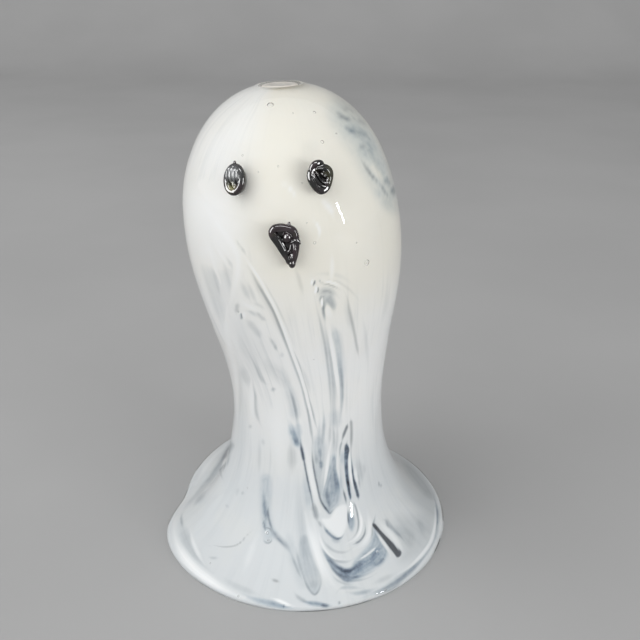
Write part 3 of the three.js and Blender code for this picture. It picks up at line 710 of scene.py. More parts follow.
line("crescent low 3", 0.26, 0.3, (330, 573), (337, 580), (346, 584), (356, 584))
line("crescent end", 0.26, 0.7, (371, 566), (380, 562), (386, 556), soft=1, blue=0.6)
line("bright fleck 2", -0.4, 0.3, (376.4, 550), (378, 553))
line("white bank", -0.4, 1.2, (312, 512), (315, 532), (319, 552), (325, 570), (333, 584), (343, 592),
     soft=0.9)

# The slot right of the cups, and the soft shades beside it
line("slot lead", 0.42, 0.34, (375.4, 514), (374.6, 519), (373.4, 523), (372, 528), (371.8, 534),
     (369.4, 540), (365, 546), ends=(0.3, 0.5))
line("slot white", -0.45, 0.7, (377, 519), (384, 527), (392, 536), (399, 545), (403, 552), soft=0.8)
line("slot white 2", -0.4, 0.5, (374, 530), (381, 539), (387, 548), (391, 556), soft=0.8)
pool("slot", 0.82, 0.25, (372.2, 524.2), (375, 523.6), (381.7, 531.4), (390.6, 540.4), (397.4, 548),
     (401.2, 552), (400.6, 555.6), (397.2, 557.4), (394.4, 554), (387.2, 544.2), (379.4, 534.2),
     (373.9, 527.4), blue=0.1)
line("slot top", 0.5, 0.45, (373, 525), (377, 529), (381, 533.5), soft=0.9, blue=0.1, ends=(0.1, 0.8))
line("slot lower edge", 0.4, 0.3, (376, 530.6), (383, 539), (390, 548), (396, 556), soft=0.9, blue=0.1)
line("shade 1", 0.36, 0.5, (384.6, 515), (387.8, 520), (390.6, 525.6), (394, 530), (400, 536), (406.6, 543),
     soft=0.9, blue=0.4)
line("shade 2", 0.4, 0.4, (382, 519), (386, 520.6), (388, 526), (391.6, 530))
pool("shade 3", 0.16, 1.3, (396, 527), (406, 528), (414, 534), (412, 546), (404, 544), (398, 535), blue=0.3)
line("shade 4", 0.14, 1, (418, 516), (421, 528), (424, 538), soft=1)
# Painted shade on the skirt's right, away from the light.
pool("right flank shade", 0.24, 1.6, (402, 460), (411, 465), (421, 475), (431, 488), (435, 499), (426, 496),
     (415, 484), (406, 472), blue=0)
# A painted highlight along the lip's inner rounding, and painted shade where the clear lip shows dark
# through it.
line("right lip highlight", -0.9, 0.5, (398, 574), (408, 568), (417, 560), (424, 552), (430, 543), (433.6, 533),
     (435.4, 521), (435, 508), soft=0.8)
line("right lip see-through shade", 0.42, 0.85, (352, 600), (366, 596.6), (380, 591), (394, 583), (407, 573),
     (418, 561.6), (427, 549.6), (434, 537), (438, 523), (439.4, 508), soft=1, blue=0.6, ends=(0.4, 0.3))
line("low curl", 0.22, 0.5, (336, 594), (339, 589.6), (345, 587.4), (354, 587.6), (364, 588.6), blue=0.5)
line("low curl 2", 0.3, 0.6, (346, 592), (356, 593.4), (367, 591.6), (378, 588), soft=0.9, blue=0.6)
line("low curl 3", 0.18, 0.7, (372, 584), (384, 579), (396, 573), soft=1)

# The broad tongue left of the cups
pool("tongue", 0.24, 0.9, (301, 538), (307, 536), (311, 546), (315, 557), (318.4, 568), (320.8, 580),
     (319.4, 588.6), (314.6, 594), (309.4, 589.6), (305, 581), (301.6, 569), (299.4, 553))
line("tongue rim", 0.34, 0.3, (301.6, 568), (304, 577.6), (306.6, 584.6), (310, 590.6), (314.6, 594.6),
     (318.6, 590.6), (320.8, 583), (320.2, 575), soft=0.8)
line("tongue low", 0.14, 1, (311, 578), (313.6, 585), (315, 590), soft=1, blue=0.2)
line("tongue streak", 0.16, 1.3, (297, 470), (299.4, 500), (301.4, 526), (304.4, 550), (309, 572), soft=1,
     blue=0.4, ends=(0.5, 0.3))
line("tongue edge", 0.26, 0.4, (296, 548), (298.4, 560), (301, 570), (304.4, 579))
pool("left of tongue", 0.13, 1.6, (288, 536), (292, 540), (297, 553), (301, 571), (305, 586), (300, 586),
     (294, 572), (289, 556), blue=0.6)
line("white shore", -0.45, 0.9, (305, 512), (310, 532), (315, 550), (321, 568), (327, 586), soft=0.9)

# The skirt's left front
pool("violet pool", 0.2, 1.2, (261, 478), (270, 477), (271.6, 495), (271, 512), (273, 524), (275.6, 534),
     (270, 541), (264.6, 538), (262, 523), (260.6, 504), blue=0.8)
# A seed drawn as marks: a painted glint, and painted shade round its dark rim.
line("seed glint", -1, 0.3, (265.2, 532.4), (267.2, 532), soft=0.7, ends=(0.1, 0.1))
line("seed shade", 0.36, 0.24, (263.4, 537), (264.6, 541.6), (268.6, 543), (271.4, 540.6), (271, 536.6))
line("seed rim shade", 0.34, 0.22, (264, 529), (267, 527.6), (270.4, 529.6), (272, 534))
line("violet core", 0.42, 0.6, (263.2, 490), (264, 500), (264.6, 508), (265.6, 516), (266.6, 525), soft=1,
     blue=0.7)
line("violet right", 0.46, 0.36, (268.4, 503), (268.2, 514), (270, 523), (272.6, 530), (275, 535), blue=0.4)
line("violet left", 0.42, 0.34, (263, 517), (264.2, 525), (266, 533), blue=0.5)
line("trail", 0.36, 0.75, (271.6, 529), (276, 535.6), (280.6, 540), (285, 544.6), (288.6, 549.4),
     (291.6, 555), soft=1, blue=0.5, ends=(0.2, 0.4))
line("trail line", 0.3, 0.3, (274, 536), (278, 539), (282.6, 543.6), (286, 548), soft=1)
line("trail low", 0.3, 0.4, (290, 551), (294, 561), (298, 571), (302.6, 581))
line("dark line", 0.3, 0.4, (318, 520), (322, 528))
line("hair", 0.3, 0.2, (206, 546), (215, 545.6), (222, 546.8), (230, 546.6), (236, 545.2), (241, 542),
     (245, 537.4), (248, 534), (252, 531), (256, 528.6), soft=0.8, blue=0)
line("white border", -0.25, 0.8, (258, 534), (253, 546), (248, 560), (243, 574), soft=1)
line("speck line", 0.1, 0.5, (239, 486), (236, 497))
line("fleck 1", 0.16, 0.5, (240.6, 492), (244.6, 494))
line("fleck 2", 0.2, 0.4, (208, 556.6), (213, 558), (219, 557.6))
line("fleck 3", 0.36, 0.42, (271, 578.6), (275, 580.6), (280, 582), soft=0.9, blue=0)
line("fleck 4", 0.12, 0.4, (225, 504), (229, 508))
line("low left dark", 0.3, 0.65, (264, 598.6), (271, 602), (278, 604.8), (285, 606.4), (293, 607.8),
     soft=0.9, blue=0.9)
line("low left spot", 0.72, 0.5, (282.6, 605.4), (285.6, 606), soft=0.9, blue=0.7)
line("low left white", -1, 0.4, (271, 597.6), (279, 600.6), (287, 604), (294, 606.6))
line("low shade", 0.3, 0.5, (294, 592), (298, 597), (304, 600.6), (310, 603), soft=0.9)
line("low dark", 0.5, 0.6, (300, 600.6), (309, 602.8), (318, 604), (326, 605), (332, 605.6), soft=0.9,
     blue=0.85)
line("low dark end", 0.62, 0.5, (319, 604.6), (325, 605.8), (331, 606), soft=0.9, blue=0.5)
line("low dot", 0.5, 0.35, (337.6, 602.6), (341, 603))
# The next mark is a painted highlight along the lip's rounding, and the one after it painted shade in the
# valley inside it.
line("left lip highlight", -1, 1.35, (174.6, 522), (174.4, 532), (177, 543), (182, 553), (189, 562.6),
     (198, 571.6), (208, 579.6), (219, 586.6), (231, 592.6), (244, 597.6), soft=0.9)
line("left roll", 0.22, 1.5, (181, 514), (181.8, 524), (184.6, 534), (189, 545), (195.6, 556), (203, 565.6),
     (212, 573), soft=0.95)
line("left roll dark", 0.3, 0.4, (181, 513), (181.4, 521), (183, 528))
line("left roll white", -0.5, 0.5, (190.6, 530), (192.6, 540), (196, 549), (200, 557), (205, 565))
line("left low grey", 0.16, 0.8, (222, 577), (234, 585), (248, 591), (262, 596), soft=1)

# The fold at the left, where the brim goes behind: painted shade in its crease, and a painted highlight on
# the brim beyond it
line("fold", 0.4, 1, (233.6, 441), (229, 448), (224.6, 456), (220.6, 463), (216, 470), (211.4, 477),
     (206.4, 483), (201, 489), (196, 495), (191, 500.6), (186.6, 506), (183, 511), soft=0.8,
     ends=(0.05, 0.6))
line("fold crease shade", 0.42, 0.6, (232.6, 443), (228, 450), (223.6, 458), (220.6, 464), soft=0.9, blue=0.2)
line("fold loop", 0.5, 0.36, (230, 453), (228, 460), (224, 466), (220.4, 470.6), (221, 475), (223.4, 480))
line("fold drop", -0.6, 0.4, (226.8, 456), (225, 461), (221.6, 466.6))
line("fold wash", 0.28, 0.7, (208.6, 493), (203, 496), (198, 500.6), (193, 506), soft=0.9)
# Painted highlight on the curled brim, which faces more to the light.
line("brim highlight", -0.3, 0.6, (226, 445), (215, 456), (204, 470), (195, 485), soft=0.9)

# Light curls in the face's glass, and a painted sheen beside the head's highlight
line("curl 1", -0.55, 0.4, (277, 186), (282, 185), (288, 186.6), (292, 190.6), (296, 196), (298, 200))
line("curl 2", -0.6, 0.4, (312, 219), (317, 224.6), (319.8, 232), (317.6, 240))
line("curl 3", -0.4, 0.5, (331.4, 252), (332.2, 262), (331.8, 274), (330.6, 284))
# Painted sheen beside the head's highlight.
line("face sheen", -0.6, 0.7, (318, 198), (325, 203), (331, 210), (334, 219), soft=1)
line("face shade", 0.05, 2, (300, 140), (312, 150), (322, 158), soft=1)
# Painted shade where the clear lip shows dark through it.
line("lip see-through violet", 0.4, 0.32, (433, 494), (436, 504), (437.4, 514), (436.6, 525), (433.6, 536), blue=0.7)
line("lip grey", 0.3, 0.6, (366, 594), (376, 592), (385, 589), (395, 584), (405, 576.6), (414, 569),
     (422, 560), (428, 550), soft=1, blue=0.4)
line("lip grey line", 0.42, 0.25, (372, 595), (386, 591.6), (397, 586), (408, 578.4), blue=0.4)
# Painted shade on the skirt's right flare and below it, away from the light.
pool("right flare shade", 0.22, 3, (392, 452), (408, 458), (424, 474), (436, 494), (441, 514), (434, 516),
     (424, 512), (412, 500), (400, 482), blue=0.05)
pool("right skirt shade", 0.16, 3, (396, 520), (412, 516), (432, 516), (436, 528), (428, 544), (414, 558),
     (400, 560), (404, 544), blue=0.2)
# The first mark below is painted shade where the clear lip shows dark through it.
line("left lip see-through shade", 0.3, 0.3, (172, 545), (180, 559.6), (192, 573), (207, 584), (224, 593), (240, 599),
     soft=1, blue=0.5, ends=(0.4, 0.3))
line("low lip blue", 0.36, 0.75, (240, 593), (254, 599), (268, 603), (284, 607), (300, 608.6), soft=1,
     blue=0.9, ends=(0.4, 0.5))


SPOT_SPACING = 1.2  # pixels between the points of a mark's outline
GRAIN_LENGTH = 1.1 * MM  # from one fine line to the next within a mark
GRAIN = 0.22
FACING_FULL = 0.14  # how much the glass faces the camera where marks reach their full strength
BRIGHTEST = -1.0
END_WIDTH = 0.4  # shares of its width and strength that a line keeps at its ends
END_STRENGTH = 0.15
SIGHT_SOFTENING = 8  # steps by which the border of what the camera sees is softened
LEAST_SEEN = 0.01
GLASS_IOR = 1.5
RUN_ON_STEPS = 90
RUN_ON_KEPT = 0.985
PLAIN_TONE = 0.4


def spline(points, spacing, closed=False):
    """Points along a smooth curve through the given ones, about a spacing apart."""
    points = [np.array(p, float) for p in points]
    if closed:
        points = [points[-1], *points, points[0], points[1]]
    else:
        points = [2 * points[0] - points[1], *points, 2 * points[-1] - points[-2]]
    curve = []
    for a, b, c, d in zip(points, points[1:], points[2:], points[3:]):
        count = max(int(np.linalg.norm(c - b) / spacing), 1)
        for t in np.arange(count) / count:
            curve.append(0.5 * (2 * b + (c - a) * t + (2 * a - 5 * b + 4 * c - d) * t**2
                                + (3 * b - a - 3 * c + d) * t**3))
    if not closed:
        curve.append(points[-2])
    return np.array(curve)


def curve_distance(points, curve):
    """Distances from points to a flat curve, below 0 on its right, and the share of it gone by."""
    starts, steps = curve[:-1], np.diff(curve, axis=0)
    lengths = np.maximum(np.hypot(*steps.T), 1e-9)
    before = np.concatenate([[0], np.cumsum(lengths)])
    best = np.full(len(points), np.inf)
    gone = np.zeros(len(points))
    for start, step, length, behind in zip(starts, steps, lengths, before):
        away = points - start
        t = np.clip(away @ step / length**2, 0, 1)
        distance = np.hypot(*(away - t[:, None] * step).T)
        nearer = distance < np.abs(best)
        side = np.sign(step[0] * away[:, 1] - step[1] * away[:, 0])
        best = np.where(nearer, distance * np.where(side == 0, 1, side), best)
        gone = np.where(nearer, behind + t * length, gone)
    return best, gone / before[-1]


def inside(points, outline):
    """Which points a closed flat outline goes round."""
    x, y = points.T
    result = np.zeros(len(points), bool)
    for (ax, ay), (bx, by) in zip(outline, np.roll(outline, -1, 0)):
        if ay != by:
            result ^= ((ay > y) != (by > y)) & (x < (bx - ax) * (y - ay) / (by - ay) + ax)
    return result


def smooth_step(t):
    """A smooth step from 0 to 1, as a cubic."""
    t = np.clip(t, 0, 1)
    return t * t * (3 - 2 * t)


def lay(cover, level, blue, near, thin_glass_and_painted_light, tone):
    """Lays a mark on the glass: a dark one darkens it, as thinner glass and as painted shade, and a light
    one draws it towards its level, as thicker glass and as painted highlights.
    """
    if level > 0:
        cover = cover * level
        tone[near] += (blue - tone[near]) * cover / (cover + np.clip(thin_glass_and_painted_light[near], 0.02, 1))
        thin_glass_and_painted_light[near] += cover * (1 - np.maximum(thin_glass_and_painted_light[near], 0))
    else:
        thin_glass_and_painted_light[near] += (BRIGHTEST - thin_glass_and_painted_light[near]) * cover * abs(level)


def links_of(mesh):
    """The two ends of each of a mesh's edges, and how many edges each point has."""
    ends = np.zeros(len(mesh.edges) * 2, int)
    mesh.edges.foreach_get("vertices", ends)
    a, b = ends.reshape(-1, 2).T
    return a, b, np.bincount(ends, minlength=len(mesh.vertices))


def around_each(links, values):
    """The mean over the neighbours of each point."""
    a, b, neighbours = links
    count = len(values)
    return (np.bincount(a, values[b], count) + np.bincount(b, values[a], count)) / neighbours


def run_on(links, values, known, rest):
    """Lets values run on softly from where they are known, and fade to a value at rest."""
    run = values
    for _ in range(RUN_ON_STEPS):
        beyond = rest + (0.5 * (run + around_each(links, run)) - rest) * RUN_ON_KEPT
        run = known * values + (1 - known) * beyond
    return run


def seen_at(points, normals, depths):
    """Where on the clear glass's surface points at some depths under it are seen from the camera."""
    towards = CAMERA_AT - points
    towards /= np.linalg.norm(towards, axis=1)[:, None]
    upright = np.clip((towards * normals).sum(1), 0, 1)[:, None]
    aside = towards - normals * upright
    return points + depths[:, None] * (normals + aside / np.sqrt(GLASS_IOR**2 - 1 + upright**2))


def lay_marks(mesh, points, normals, depths, tree):
    """Lays all marks where the camera sees them, and lets them run on beyond."""
    thin_glass_and_painted_light = np.zeros(len(points))
    tone = np.full(len(points), PLAIN_TONE)
    spots, scale = pixels_of(seen_at(points, normals, depths))
    turned_to, open_to = facing(points, normals, tree)
    links = links_of(mesh)
    strength = open_to.astype(float)
    for _ in range(SIGHT_SOFTENING):
        strength = (strength + around_each(links, strength)) / 2
    strength = strength * smooth_step(turned_to / FACING_FULL)
    visible = np.flatnonzero(strength > LEAST_SEEN)
    shown = spots[visible]
    for number, (outline, closed, width, level, soft, blue, ends) in enumerate(MARKS.values()):
        curve = spline(outline, SPOT_SPACING, closed)
        reach = width * MM * (1 + soft) * scale[visible].max()
        inbox = ((shown > curve.min(0) - reach) & (shown < curve.max(0) + reach)).all(1)
        near = visible[inbox]
        spot = spots[near]
        if closed:
            away, _ = curve_distance(spot, np.vstack([curve, curve[:1]]))
            away = np.abs(away) / scale[near]
            signed = np.where(inside(spot, curve), away, -away)
            cover = smooth_step(0.5 + signed / (2 * width * MM))
        else:
            away, gone = curve_distance(spot, curve)
            away = away / scale[near]
            taper = smooth_step(gone / max(ends[0], 1e-3)) * smooth_step((1 - gone) / max(ends[1], 1e-3))
            half = width * MM * (END_WIDTH + (1 - END_WIDTH) * taper)
            cover = 1 - smooth_step((np.abs(away) - half * (1 - soft)) / (2 * half * soft))
            cover = cover * (END_STRENGTH + (1 - END_STRENGTH) * taper)
        grain = GRAIN * smooth_step((width - 0.5) / 0.5) * smooth_step(2.4 - width)
        cover = cover * (1 - grain * (0.5 + 0.5 * np.sin(2 * np.pi * away / GRAIN_LENGTH + number)))
        lay(cover, level, blue, near, thin_glass_and_painted_light, tone)
    thin_glass_and_painted_light = run_on(links, thin_glass_and_painted_light, strength, 0)
    tone = run_on(links, tone, strength, PLAIN_TONE)
    return thin_glass_and_painted_light, tone, turned_to


# The sides and the back, which the photograph doesn't show, get flow lines in their material

HIDDEN_BELOW = 0.1
HIDDEN_FADE = 0.2
HIDDEN_TOP = (128 * MM, 88 * MM)
HIDDEN_FOOT = (2.6 * MM, 6.6 * MM)

# Where the white turns warm: levels and turns, at the front and at the back

WARM_LEVELS = (70 * MM, 115 * MM)
WARM_TURNS = (-0.75, -0.05)
WARM_LEAST = 0.25
WARM_BACK_LEVELS = (95 * MM, 120 * MM)
WARM_BACK_TURNS = (1.7, 2.6)

# The flow follows the turns round the body, and is drawn aside at the left of the skirt

FLOW_RADIUS = 30
DRAWN_ASIDE = 0.5
DRAWN_LEVELS = (118 * MM, 32 * MM)
DRAWN_TURN = -1.0
DRAWN_WIDTH = 1.1


def store(mesh, name, values):
    values = np.asarray(values, np.float32)
    kind = "FLOAT" if values.ndim == 1 else "FLOAT_VECTOR"
    layer = mesh.attributes.new(name, kind, "POINT")
    layer.data.foreach_set("value" if kind == "FLOAT" else "vector", values.ravel())


def mark_opal():
    count = len(opal.data.vertices)
    points, normals = np.zeros(count * 3), np.zeros(count * 3)
    opal.data.vertices.foreach_get("co", points)
    opal.data.vertices.foreach_get("normal", normals)
    points, normals = points.reshape(-1, 3), normals.reshape(-1, 3)
    x, y, level = opal_points.T
    turn = np.arctan2(x, -y)
    wall_normals = wall_at(level)[1]
    radial = normals[:, 0] * np.sin(turn) - normals[:, 1] * np.cos(turn)
    outer = radial * wall_normals[:, 0] + normals[:, 2] * wall_normals[:, 1] > 0
    depths = casing_at(level) + GLASS_GAP - FUSED
    thin_glass_and_painted_light, tone, turned_to = lay_marks(opal.data, points, normals, depths, opal_tree)
    hidden = smooth_step((HIDDEN_BELOW - turned_to) / HIDDEN_FADE) * outer
    hidden = hidden * rise(level, *HIDDEN_TOP) * rise(level, *HIDDEN_FOOT)
    warm = rise(level, *WARM_LEVELS) * (WARM_LEAST + (1 - WARM_LEAST) * rise(turn, *WARM_TURNS))
    warm = np.maximum(warm, rise(level, *WARM_BACK_LEVELS) * rise(np.abs(turn), *WARM_BACK_TURNS))
    aside = DRAWN_ASIDE * rise(level, *DRAWN_LEVELS) * bell(around(turn, DRAWN_TURN), DRAWN_WIDTH)
    drawn = turn - aside
    flow = np.stack([np.cos(drawn) * FLOW_RADIUS, np.sin(drawn) * FLOW_RADIUS, level / MM], -1)
    layers = {"thin_glass_and_painted_light": thin_glass_and_painted_light, "hidden": hidden, "tone": tone, "warm": warm, "level": level / MM,
              "flow": flow}
    for name, values in layers.items():
        store(opal.data, name, values)


mark_opal()

# Materials

# The skirt's white is darker than the head's: partly painted shade on the skirt.
SKIRT_WHITE = (0.65, 0.672, 0.686, 1)
HEAD_WHITE = (0.845, 0.845, 0.84, 1)
WARM_WHITE = (0.81, 0.785, 0.71, 1)
BRIGHT_WHITE = (0.90, 0.905, 0.91, 1)
LAMP_TINT = (0.96, 0.97, 0.97, 1)  # what the clear glass leaves of the lamps' light
CLEAR_UNEVENNESS = 0.012 * MM
CLEAR_NOISE = 120
BLACK_IOR = 1.55
PUNTY_UNEVENNESS = 0.15 * MM
PUNTY_NOISE = 500


class Shader:
    """A material's node tree, built by short calls. A value given as a socket is linked."""

    def __init__(self, name):
        self.material = bpy.data.materials.new(name)
        self.material.use_nodes = True
        self.tree = self.material.node_tree
        self.tree.nodes.clear()
        self.output = self.tree.nodes.new("ShaderNodeOutputMaterial")

    def add(self, kind, settings=None, **inputs):
        node = self.tree.nodes.new("ShaderNode" + kind)
        for key, value in (settings or {}).items():
            setattr(node, key, value)
        for key, value in inputs.items():
            index = int(key[1:]) if key[0] == "i" and key[1:].isdigit() else key.replace("_", " ")
            self.put(node.inputs[index], value)
        return node

    def put(self, socket, value):
        if isinstance(value, bpy.types.NodeSocket):
            self.tree.links.new(value, socket)
        else:
            socket.default_value = value

    def math(self, operation, a, b=0.0, clamp=False):
        node = self.add("Math", {"operation": operation, "use_clamp": clamp}, i0=a, i1=b)
        return node.outputs[0]

    def times(self, a, b, clamp=False):
        return self.math("MULTIPLY", a, b, clamp)

    def plus(self, a, b, clamp=False):
        return self.math("ADD", a, b, clamp)

    def mix(self, factor, a, b, blend="MIX"):
        node = self.add("Mix", {"data_type": "RGBA", "blend_type": blend}, i0=factor, i6=a, i7=b)
        return node.outputs[2]

    def remap(self, value, low, high, to_low=0.0, to_high=1.0):
        node = self.add("MapRange", {"interpolation_type": "SMOOTHSTEP"}, Value=value)
        for socket, number in zip(node.inputs[1:5], (low, high, to_low, to_high)):
            socket.default_value = number
        return node.outputs[0]

    def noise(self, vector, scale, detail=2.0, roughness=0.5):
        node = self.add("TexNoise", Vector=vector, Scale=scale, Detail=detail, Roughness=roughness)
        return node.outputs["Fac"]

    def stretched(self, vector, scale):
        return self.add("Mapping", Vector=vector, Scale=scale).outputs[0]

    def attribute(self, name, output="Fac"):
        return self.add("Attribute", {"attribute_name": name}).outputs[output]

    def ramp(self, value, stops):
        node = self.add("ValToRGB", Fac=value)
        elements = node.color_ramp.elements
        while len(elements) < len(stops):
            elements.new(0.5)
        for element, (place, colour) in zip(elements, stops):
            element.position = place
            element.color = (*colour, 1)
        return node.outputs["Color"]

    def place(self):
        return self.add("TexCoord").outputs["Object"]

    def roughen(self, shader, scale, height):
        """Raises a shader's surface by fine noise."""
        raised = self.add("Bump", Strength=1.0, Distance=height, Height=self.noise(self.place(), scale))
        self.put(shader.inputs["Normal"], raised.outputs[0])

    def finish(self, surface):
        self.tree.links.new(surface, self.output.inputs["Surface"])
        return self.material


def back_flow(s, flow):
    """Fine lines round nested long loops, with wide places of thinner glass among them."""
    drift = s.add("TexNoise", Vector=s.stretched(flow, (1, 1, 0.35)), Scale=0.07, Detail=1.0)
    away = s.add("VectorMath", {"operation": "SUBTRACT"}, i0=drift.outputs["Color"], i1=(0.5, 0.5, 0.5))
    away = s.add("VectorMath", {"operation": "MULTIPLY"}, i0=away.outputs[0], i1=(22, 22, 22))
    moved = s.add("VectorMath", {"operation": "ADD"}, i0=flow, i1=away.outputs[0]).outputs[0]
    form = s.noise(s.stretched(moved, (1, 1, 0.16)), 0.085, 2, 0.45)
    crests = s.math("PINGPONG", s.times(form, 15.0), 1.0)
    lines = s.times(s.remap(crests, 0.74, 0.98), s.remap(form, 0.5, 0.62, 0.06, 0.5))
    edges = s.times(s.remap(crests, 0.3, 0.05), s.remap(form, 0.52, 0.6, 0, -0.6))
    pools = s.remap(form, 0.585, 0.66, 0, 0.4)
    return s.plus(s.plus(lines, edges), pools)


def opal_material():
    s = Shader("opal_glass")
    flow = s.attribute("flow", "Vector")
    warm = s.attribute("warm")
    height = s.attribute("level")
    streaks = s.noise(s.stretched(flow, (1, 1, 0.06)), 0.5, 3, 0.6)
    fibres = s.noise(s.stretched(flow, (1, 1, 0.05)), 1.6, 2, 0.5)
    clouds = s.noise(s.stretched(flow, (1, 1, 0.3)), 0.12, 2, 0.5)
    veil = s.times(s.remap(streaks, 0.44, 0.74), s.remap(clouds, 0.42, 0.62, 0.02, 0.14))
    veil = s.plus(veil, s.remap(fibres, 0.5, 0.8, 0, 0.035))
    veil = s.times(veil, s.remap(warm, 0.2, 0.9, 1, 0.12))
    veil = s.times(veil, s.remap(height, 18, 42, 0.35, 1))
    behind = s.times(s.attribute("hidden"), back_flow(s, flow))
    thin_glass_and_painted_light = s.plus(s.attribute("thin_glass_and_painted_light"), behind)
    mottle = s.remap(s.noise(s.place(), 420, 2, 0.6), 0.3, 0.75, -0.2, 0.2)
    mottle = s.times(s.times(mottle, s.attribute("tone")), s.math("ABSOLUTE", thin_glass_and_painted_light))
    total = s.plus(s.plus(thin_glass_and_painted_light, mottle), veil)
    blotches = s.remap(s.noise(s.place(), 55, 3, 0.6), 0.3, 0.7, -0.12, 0.12)
    # Darker from the head down to the skirt: partly painted shade.
    plain = s.mix(s.remap(height, 20, 64), SKIRT_WHITE, HEAD_WHITE)
    white = s.mix(s.plus(warm, blotches, clamp=True), plain, WARM_WHITE)
    cool = s.ramp(total, [(0, (1, 1, 1)), (0.25, (0.71, 0.77, 0.82)), (0.5, (0.40, 0.48, 0.57)),
                          (0.75, (0.15, 0.20, 0.28)), (1, (0.018, 0.026, 0.045))])
    grey = s.ramp(total, [(0, (1, 1, 1)), (0.25, (0.75, 0.755, 0.755)), (0.5, (0.45, 0.455, 0.47)),
                          (0.75, (0.18, 0.185, 0.20)), (1, (0.022, 0.024, 0.028))])
    shade = s.mix(s.attribute("tone"), grey, cool)
    colour = s.mix(1.0, white, shade, "MULTIPLY")
    bright = s.times(thin_glass_and_painted_light, -1.0, clamp=True)
    colour = s.mix(bright, colour, BRIGHT_WHITE)
    bsdf = s.add("BsdfPrincipled", Base_Color=colour, Roughness=0.45, Specular_IOR_Level=0.1,
                 Subsurface_Weight=0.2, Subsurface_Radius=(1.0, 0.9, 0.85), Subsurface_Scale=0.8 * MM)
    return s.finish(bsdf.outputs[0])


def clear_material(name, ior, unevenness=0.0):
    """Clear glass that bends what is seen through it and lets the lamps' light straight on."""
    s = Shader(name)
    glass = s.add("BsdfPrincipled", Base_Color=(1, 1, 1, 1), Roughness=0, Transmission_Weight=1, IOR=ior)
    if unevenness:
        s.roughen(glass, CLEAR_NOISE, unevenness)
    straight = s.add("BsdfTransparent", Color=LAMP_TINT)
    path = s.add("LightPath")
    through = s.math("MAXIMUM", path.outputs["Is Shadow Ray"], path.outputs["Is Diffuse Ray"])
    mixed = s.add("MixShader", i0=through, i1=glass.outputs[0], i2=straight.outputs[0])
    return s.finish(mixed.outputs[0])


dress(opal, opal_material(), "opal_core")
dress(casing, clear_material("clear_glass", GLASS_IOR, CLEAR_UNEVENNESS), "clear_casing")

# Black glass: ropes, pads and lumps are laid on the wall and melted together. Sizes are in
# millimetres until a bit is set on the wall: x across, y up and z out of it.

BIT_VOXEL = 0.11
BIT_SMOOTHING = 3
ROPE_SIDES = 12
COARSE, FINE, FINEST = 0.25, 0.15, 0.12  # spacings of the points along a rope
SUNK = 0.08 * MM  # how far a bit is melted into the wall


def grid_faces(rings, sides, closed):
    """Four-sided faces between rings of points, which close on themselves if the grid does."""
    faces = []
    for i in range(rings if closed else rings - 1):
        k = (i + 1) % rings
        for j in range(sides):
            n = (j + 1) % sides
            faces.append((i * sides + j, i * sides + n, k * sides + n, k * sides + j))
    return faces


def rope(points, radius, closed=False, spacing=COARSE, blunt=0.45):
    """A round rope of glass along a curve, as points and faces. An open one tapers to its ends."""
    curve = spline(points, spacing, closed)
    if closed:
        tangent = np.roll(curve, -1, 0) - np.roll(curve, 1, 0)
        taper = np.ones(len(curve))
    else:
        tangent = np.gradient(curve, axis=0)
        taper = 0.12 + 0.88 * np.sin(np.pi * np.linspace(0, 1, len(curve))).clip(0) ** blunt
    tangent /= np.linalg.norm(tangent, axis=1)[:, None]
    sideways = np.cross(tangent, (0, 0, 1))
    sideways /= np.linalg.norm(sideways, axis=1)[:, None]
    upward = np.cross(sideways, tangent)
    angle = np.linspace(0, 2 * np.pi, ROPE_SIDES, endpoint=False)[None, :, None]
    ring = np.cos(angle) * sideways[:, None] + np.sin(angle) * upward[:, None]
    verts = (curve[:, None] + ring * (radius * taper)[:, None, None]).reshape(-1, 3)
    faces = grid_faces(len(curve), ROPE_SIDES, closed)
    if not closed:
        faces.append(tuple(range(ROPE_SIDES))[::-1])
        faces.append(tuple(range(len(verts) - ROPE_SIDES, len(verts))))
    return verts, faces


def lump(at, half, rings=14, sides=20):
    """An ellipsoid of glass, with its poles up and down."""
    verts = [(0, 0, -1)]
    for i in range(1, rings):
        a = np.pi * i / rings - np.pi / 2
        for j in range(sides):
            b = 2 * np.pi * j / sides
            verts.append((np.cos(a) * np.cos(b), np.cos(a) * np.sin(b), np.sin(a)))
    verts.append((0, 0, 1))
    top = 1 + (rings - 2) * sides
    faces = [tuple(1 + v for v in face) for face in grid_faces(rings - 1, sides, False)]
    for j in range(sides):
        n = (j + 1) % sides
        faces.append((0, 1 + n, 1 + j))
        faces.append((top + j, top + n, len(verts) - 1))
    return np.array(verts) * half + at, faces


def pad(outline, low, high):
    """A flat pad of glass inside a closed line, from one height to another."""
    edge = spline(outline, COARSE, closed=True)[:, :2]
    count = len(edge)
    verts = np.vstack([np.column_stack([edge, np.full(count, h)]) for h in (low, high)])
    faces = grid_faces(2, count, False)
    return verts, faces + [tuple(range(count))[::-1], tuple(range(count, 2 * count))]


def melted(name, parts):
    """Parts melted together: one skin of small facets, smoothed."""
    verts = []
    faces = []
    for part_verts, part_faces in parts:
        faces.extend(tuple(len(verts) + v for v in face) for face in part_faces)
        verts.extend(part_verts)
    piece = mesh_object(name, verts, faces)
    remesh = piece.modifiers.new("melt", "REMESH")
    remesh.mode = "VOXEL"
    remesh.voxel_size = BIT_VOXEL
    remesh.use_smooth_shade = True
    smooth = piece.modifiers.new("smooth", "SMOOTH")
    smooth.factor = 0.5
    smooth.iterations = BIT_SMOOTHING
    skin = bpy.data.meshes.new_from_object(piece.evaluated_get(bpy.context.evaluated_depsgraph_get()))
    piece.modifiers.clear()
    piece.data = skin
    return piece


